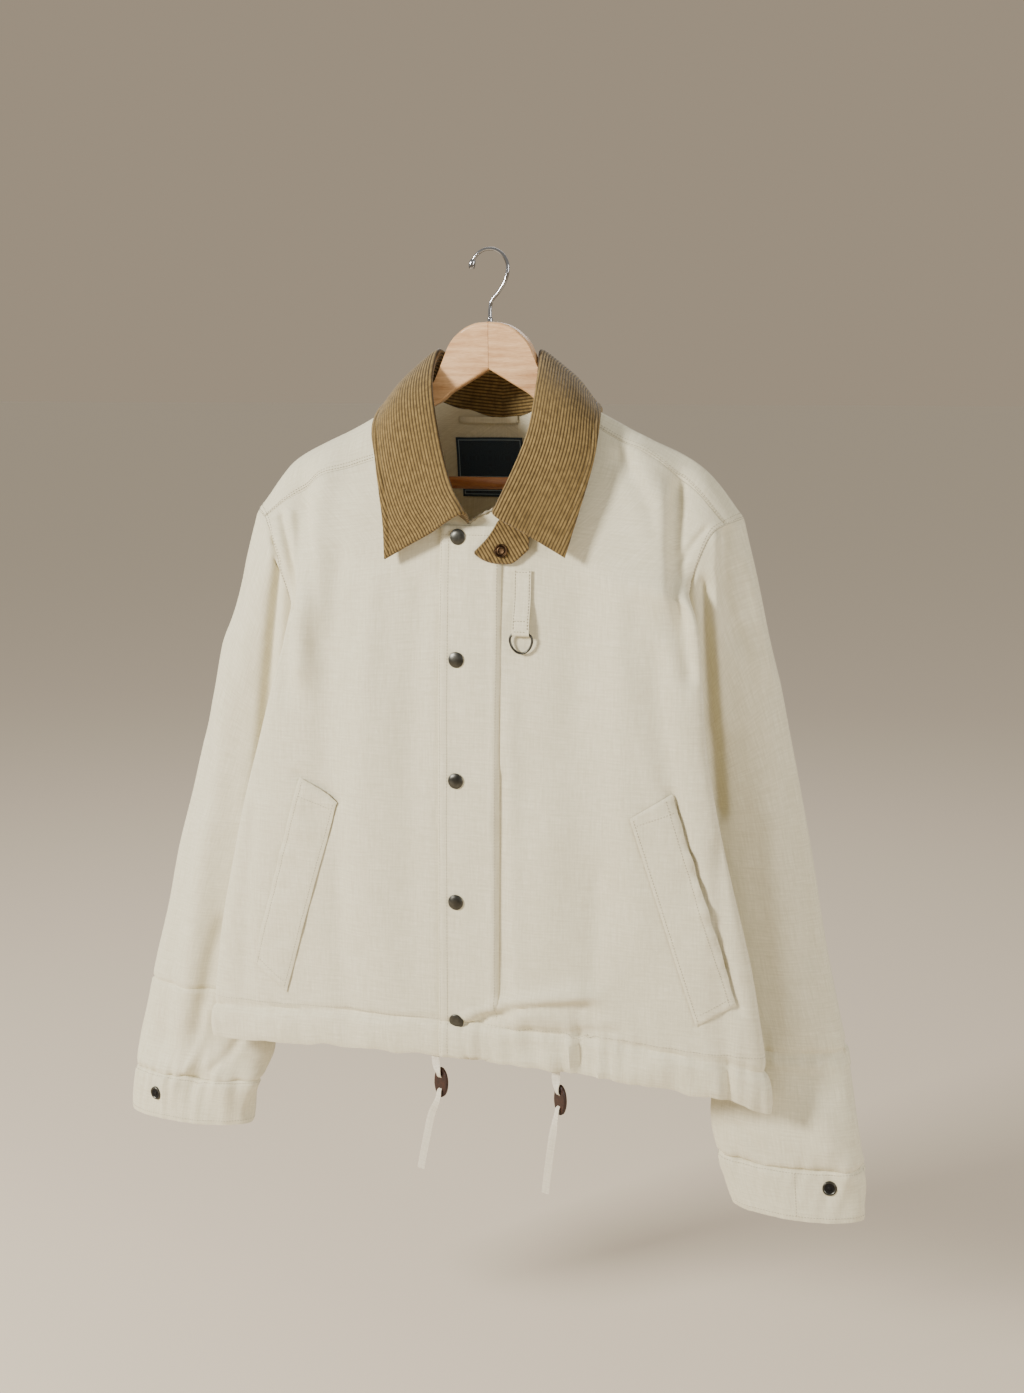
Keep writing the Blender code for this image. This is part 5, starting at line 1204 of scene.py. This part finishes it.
# polished plating, near a mirror, a little dull from use
CHROME = material("chromed steel wire", 0.12, 1.0, Base_Color=(*linear("#9B9B9D"), 1))[0]
centre_z = HOOK_WIRE - HOOK_RADIUS
route = [(0.0, 0.0, HUMP_TOP + SEAM_GAP), (0.0, 0.0, -0.0560), (0.0015, 0.0, -0.0480), (0.0090, 0.0, -0.0390),
         (0.0160, 0.0, -0.0280)]
for degrees in range(-10, 181, 19):
    angle = math.radians(degrees)
    route.append((HOOK_RADIUS * math.cos(angle), 0.0, centre_z + HOOK_RADIUS * math.sin(angle)))
route = np.array(route)
keys = lengths_along(route)
line = through(keys, route, np.linspace(0, keys[-1], 150))
radii = np.full(150, HOOK_WIRE)
radii[-14:] = HOOK_WIRE + 0.0015 * np.sqrt(np.clip(1 - ((np.arange(14) - 7.5) / 6.5) ** 2, 0, 1))
radii[:5] = HOOK_WIRE + 0.0008
rod("hanger_hook_chrome", line, radii, CHROME, ("hanger_hook",))


# ---- Draw tapes and toggles ----------------------------------------------------------------
# A flat cotton tape comes out of the hem at two places. Each end goes back through the upper
# hole of an oval leather toggle, forward through the lower one, and hangs with a cut end.
TOGGLE_CENTRES = {-1: (-0.0300, -0.0868, -0.8210), 1: (0.0950, -0.0842, -0.8250)}
TOGGLE_TURNS = {-1: 15, 1: 31}
TOGGLE_HALF_WIDTH, TOGGLE_HALF_HEIGHT, TOGGLE_HALF_THICKNESS = 0.0078, 0.0158, 0.0023
HOLE_RISE = 0.0058
TAPE_THICKNESS, TAPE_WIDTH = 0.0009, 0.0078
TAPE_ABOVE = {
    # x, y, z
    -1: ((-0.0360, -0.0874, -0.7760), (-0.0358, -0.0874, -0.7880), (-0.0345, -0.0884, -0.8020)),
    1: ((0.0900, -0.0850, -0.7780), (0.0902, -0.0850, -0.7880), (0.0910, -0.0857, -0.8060)),
}
TAPE_AT_TOGGLE = (
    # in front of the toggle's middle, over it, width
    (0.0052, 0.0118, 0.0050), (0.0040, 0.0078, 0.0042), (0.0024, 0.0062, 0.0040),
    (0.0000, HOLE_RISE, 0.0040), (-0.0024, 0.0054, 0.0040), (-0.0040, 0.0034, 0.0044),
    (-0.0045, 0.0000, 0.0048), (-0.0040, -0.0034, 0.0044), (-0.0024, -0.0054, 0.0040),
    (0.0000, -HOLE_RISE, 0.0040), (0.0024, -0.0062, 0.0040), (0.0040, -0.0078, 0.0048),
    (0.0052, -0.0125, 0.0054),
)
TAPE_BELOW = {
    -1: ((-0.0400, -0.0880, -0.8550), (-0.0480, -0.0860, -0.8880), (-0.0545, -0.0850, -0.9190)),
    1: ((0.0885, -0.0880, -0.8600), (0.0830, -0.0850, -0.8950), (0.0785, -0.0830, -0.9280)),
}
# waxed and dyed hide with a fine grain about 4 mm across, half shiny
LEATHER, tree, shader = material("brown bridle leather", 0.50, Specular_IOR_Level=0.4)
place = node(tree, "ShaderNodeTexCoord")
cloud = node(tree, "ShaderNodeTexNoise", {"Vector": place.outputs["Object"]}, {"Scale": 260.0, "Detail": 5.0})
tone = node(tree, "ShaderNodeValToRGB", {0: cloud.outputs[0]},
            stops=((0.35, linear("#2A1912")), (0.70, linear("#402419"))))
tree.links.new(tone.outputs[0], shader.inputs["Base Color"])
bump = node(tree, "ShaderNodeBump", {"Height": cloud.outputs[0]}, {"Strength": 0.3, "Distance": 0.0004})
tree.links.new(bump.outputs[0], shader.inputs["Normal"])
TAPE = cotton("cotton twill tape", linear("#CFC7B3"), linear("#E6DECB"), 0.0009)
for side, word in ((-1, "right"), (1, "left")):
    turn = math.radians(TOGGLE_TURNS[side])
    across = np.array((math.cos(turn), -math.sin(turn), 0.0))
    outward = np.array((-math.sin(turn), -math.cos(turn), 0.0))
    centre = np.array(TOGGLE_CENTRES[side])
    outline = 48
    points = []
    levels = ((0.80, -1.0), (0.93, -0.92), (1.0, -0.55), (1.0, 0.55), (0.93, 0.92), (0.80, 1.0))
    for share, level in levels:
        for cosine, sine in circle(outline):
            points.append(centre + across * TOGGLE_HALF_WIDTH * share * cosine
                          + outward * TOGGLE_HALF_THICKNESS * level
                          + np.array((0.0, 0.0, TOGGLE_HALF_HEIGHT * share * sine)))
    toggle = add_piece(f"toggle_{word}_leather", points, capped(len(levels), outline), LEATHER,
                       (f"toggle_{word}",), sharp=40)

    rows = [(np.array(row), TAPE_WIDTH, np.array((1.0, 0.0, 0.0))) for row in TAPE_ABOVE[side]]
    for away, rise, width in TAPE_AT_TOGGLE:
        rows.append((centre + outward * away + np.array((0.0, 0.0, rise)), width, across))
    rows += [(np.array(row), TAPE_WIDTH, np.array((1.0, 0.0, 0.0))) for row in TAPE_BELOW[side]]
    table = np.array([[*place, width, *way] for place, width, way in rows])
    keys = lengths_along(table[:, :3])
    line = through(keys, table, np.linspace(0, keys[-1], 150))
    points, tape_uv = [], []
    run = lengths_along(line[:, :3])
    columns = 7
    for i, row in enumerate(line):
        along = line[min(i + 1, len(line) - 1), :3] - line[max(i - 1, 0), :3]
        along /= np.linalg.norm(along)
        wide = row[4:7] - along * (row[4:7] @ along)
        wide /= np.linalg.norm(wide)
        thick = np.cross(along, wide)
        for k in range(2 * columns):
            share = (k if k < columns else 2 * columns - 1 - k) / (columns - 1) * 2 - 1
            face = -1 if k < columns else 1
            edge = 1 - 0.35 * abs(share) ** 6
            points.append(row[:3] + wide * row[3] / 2 * share + thick * TAPE_THICKNESS / 2 * face * edge)
            tape_uv.append((share * row[3] / 2, run[i]))
    tape = add_piece(f"draw_tape_{word}_cotton", points, capped(len(line), 2 * columns), TAPE,
                     (f"draw_tape_{word}",), tape_uv)


# ---- All the topstitching ------------------------------------------------------------------
# The stitches gathered from the panels, the storm flap and the welts, in one off-white spun thread with a
# dull sheen, coloured a little darker than the cloth as painted shade along the stitch lines, so that the
# rows show.
OFF_WHITE_THREAD = material("off-white thread", 0.7, Sheen_Weight=0.2, Base_Color=(*linear("#AEA58D"), 1))[0]
add_piece("topstitching", STITCHES["points"], STITCHES["faces"], OFF_WHITE_THREAD)


# ---- Floor, sky, lights and camera ---------------------------------------------------------
# A plain pale floor under the hanging jacket, pale surroundings, one soft light from the left,
# a weaker one from the right and one behind, and the camera slightly to the wearer's left.
FLOOR_Z = -1.25
floor_mesh = bpy.data.meshes.new("floor")
floor_mesh.from_pydata([(-30, -30, 0), (30, -30, 0), (30, 30, 0), (-30, 30, 0)], [], [(0, 1, 2, 3)])
floor = bpy.data.objects.new("floor", floor_mesh)
floor.location = (0, 0, FLOOR_Z)
bpy.context.scene.collection.objects.link(floor)
# matt paint with no shine
floor_mesh.materials.append(material("pale floor", 0.95, Base_Color=(*linear("#E3D3BC"), 1))[0])

world = bpy.data.worlds.new("pale studio")
bpy.context.scene.world = world
world.use_nodes = True
sky = world.node_tree.nodes["Background"]
sky.inputs["Strength"].default_value = 0.52
seen = node(world.node_tree, "ShaderNodeLightPath")
tone = node(world.node_tree, "ShaderNodeMix", {0: seen.outputs["Is Camera Ray"]},
            {6: (*linear("#F2EEE6"), 1), 7: (*linear("#DBC7AD"), 1)}, data_type="RGBA")
world.node_tree.links.new(tone.outputs[2], sky.inputs["Color"])


def area_light(name, place, target, size, power, colour=(1, 1, 1)):
    """A square area light that looks at a target."""
    lamp = bpy.data.lights.new(name, "AREA")
    lamp.size = size
    lamp.energy = power
    lamp.color = colour
    made = bpy.data.objects.new(name, lamp)
    made.location = place
    made.rotation_euler = (Vector(target) - Vector(place)).to_track_quat("-Z", "Y").to_euler()
    bpy.context.scene.collection.objects.link(made)


area_light("key", (-2.0, -1.9, 0.7), (0.0, 0.0, -0.5), 0.6, 150, (1.0, 0.98, 0.94))
area_light("right side", (2.5, -1.2, 0.1), (0.0, 0.0, -0.5), 1.0, 38, (1.0, 0.98, 0.95))
area_light("back", (-0.4, 2.2, 1.2), (0.0, 0.0, -0.4), 1.5, 16)

camera_data = bpy.data.cameras.new("camera")
camera = bpy.data.objects.new("camera", camera_data)
bpy.context.scene.collection.objects.link(camera)
bpy.context.scene.camera = camera
azimuth, pitch, roll = math.radians(18.2), math.radians(11.3), math.radians(-0.4)
level = math.cos(pitch)
forward = Vector((-math.sin(azimuth) * level, math.cos(azimuth) * level, -math.sin(pitch)))
right = Vector((math.cos(azimuth), math.sin(azimuth), 0.0))
up = right.cross(forward)
level_right = right * math.cos(roll) + up * math.sin(roll)
level_up = up * math.cos(roll) - right * math.sin(roll)
turn = Matrix((level_right, level_up, -forward)).transposed().to_4x4()
camera.matrix_world = Matrix.Translation((0.571, -1.677, -0.084)) @ turn
camera_data.sensor_fit = "VERTICAL"
camera_data.sensor_height = 36.0
camera_data.lens = 36.0 * 1787 / 1393
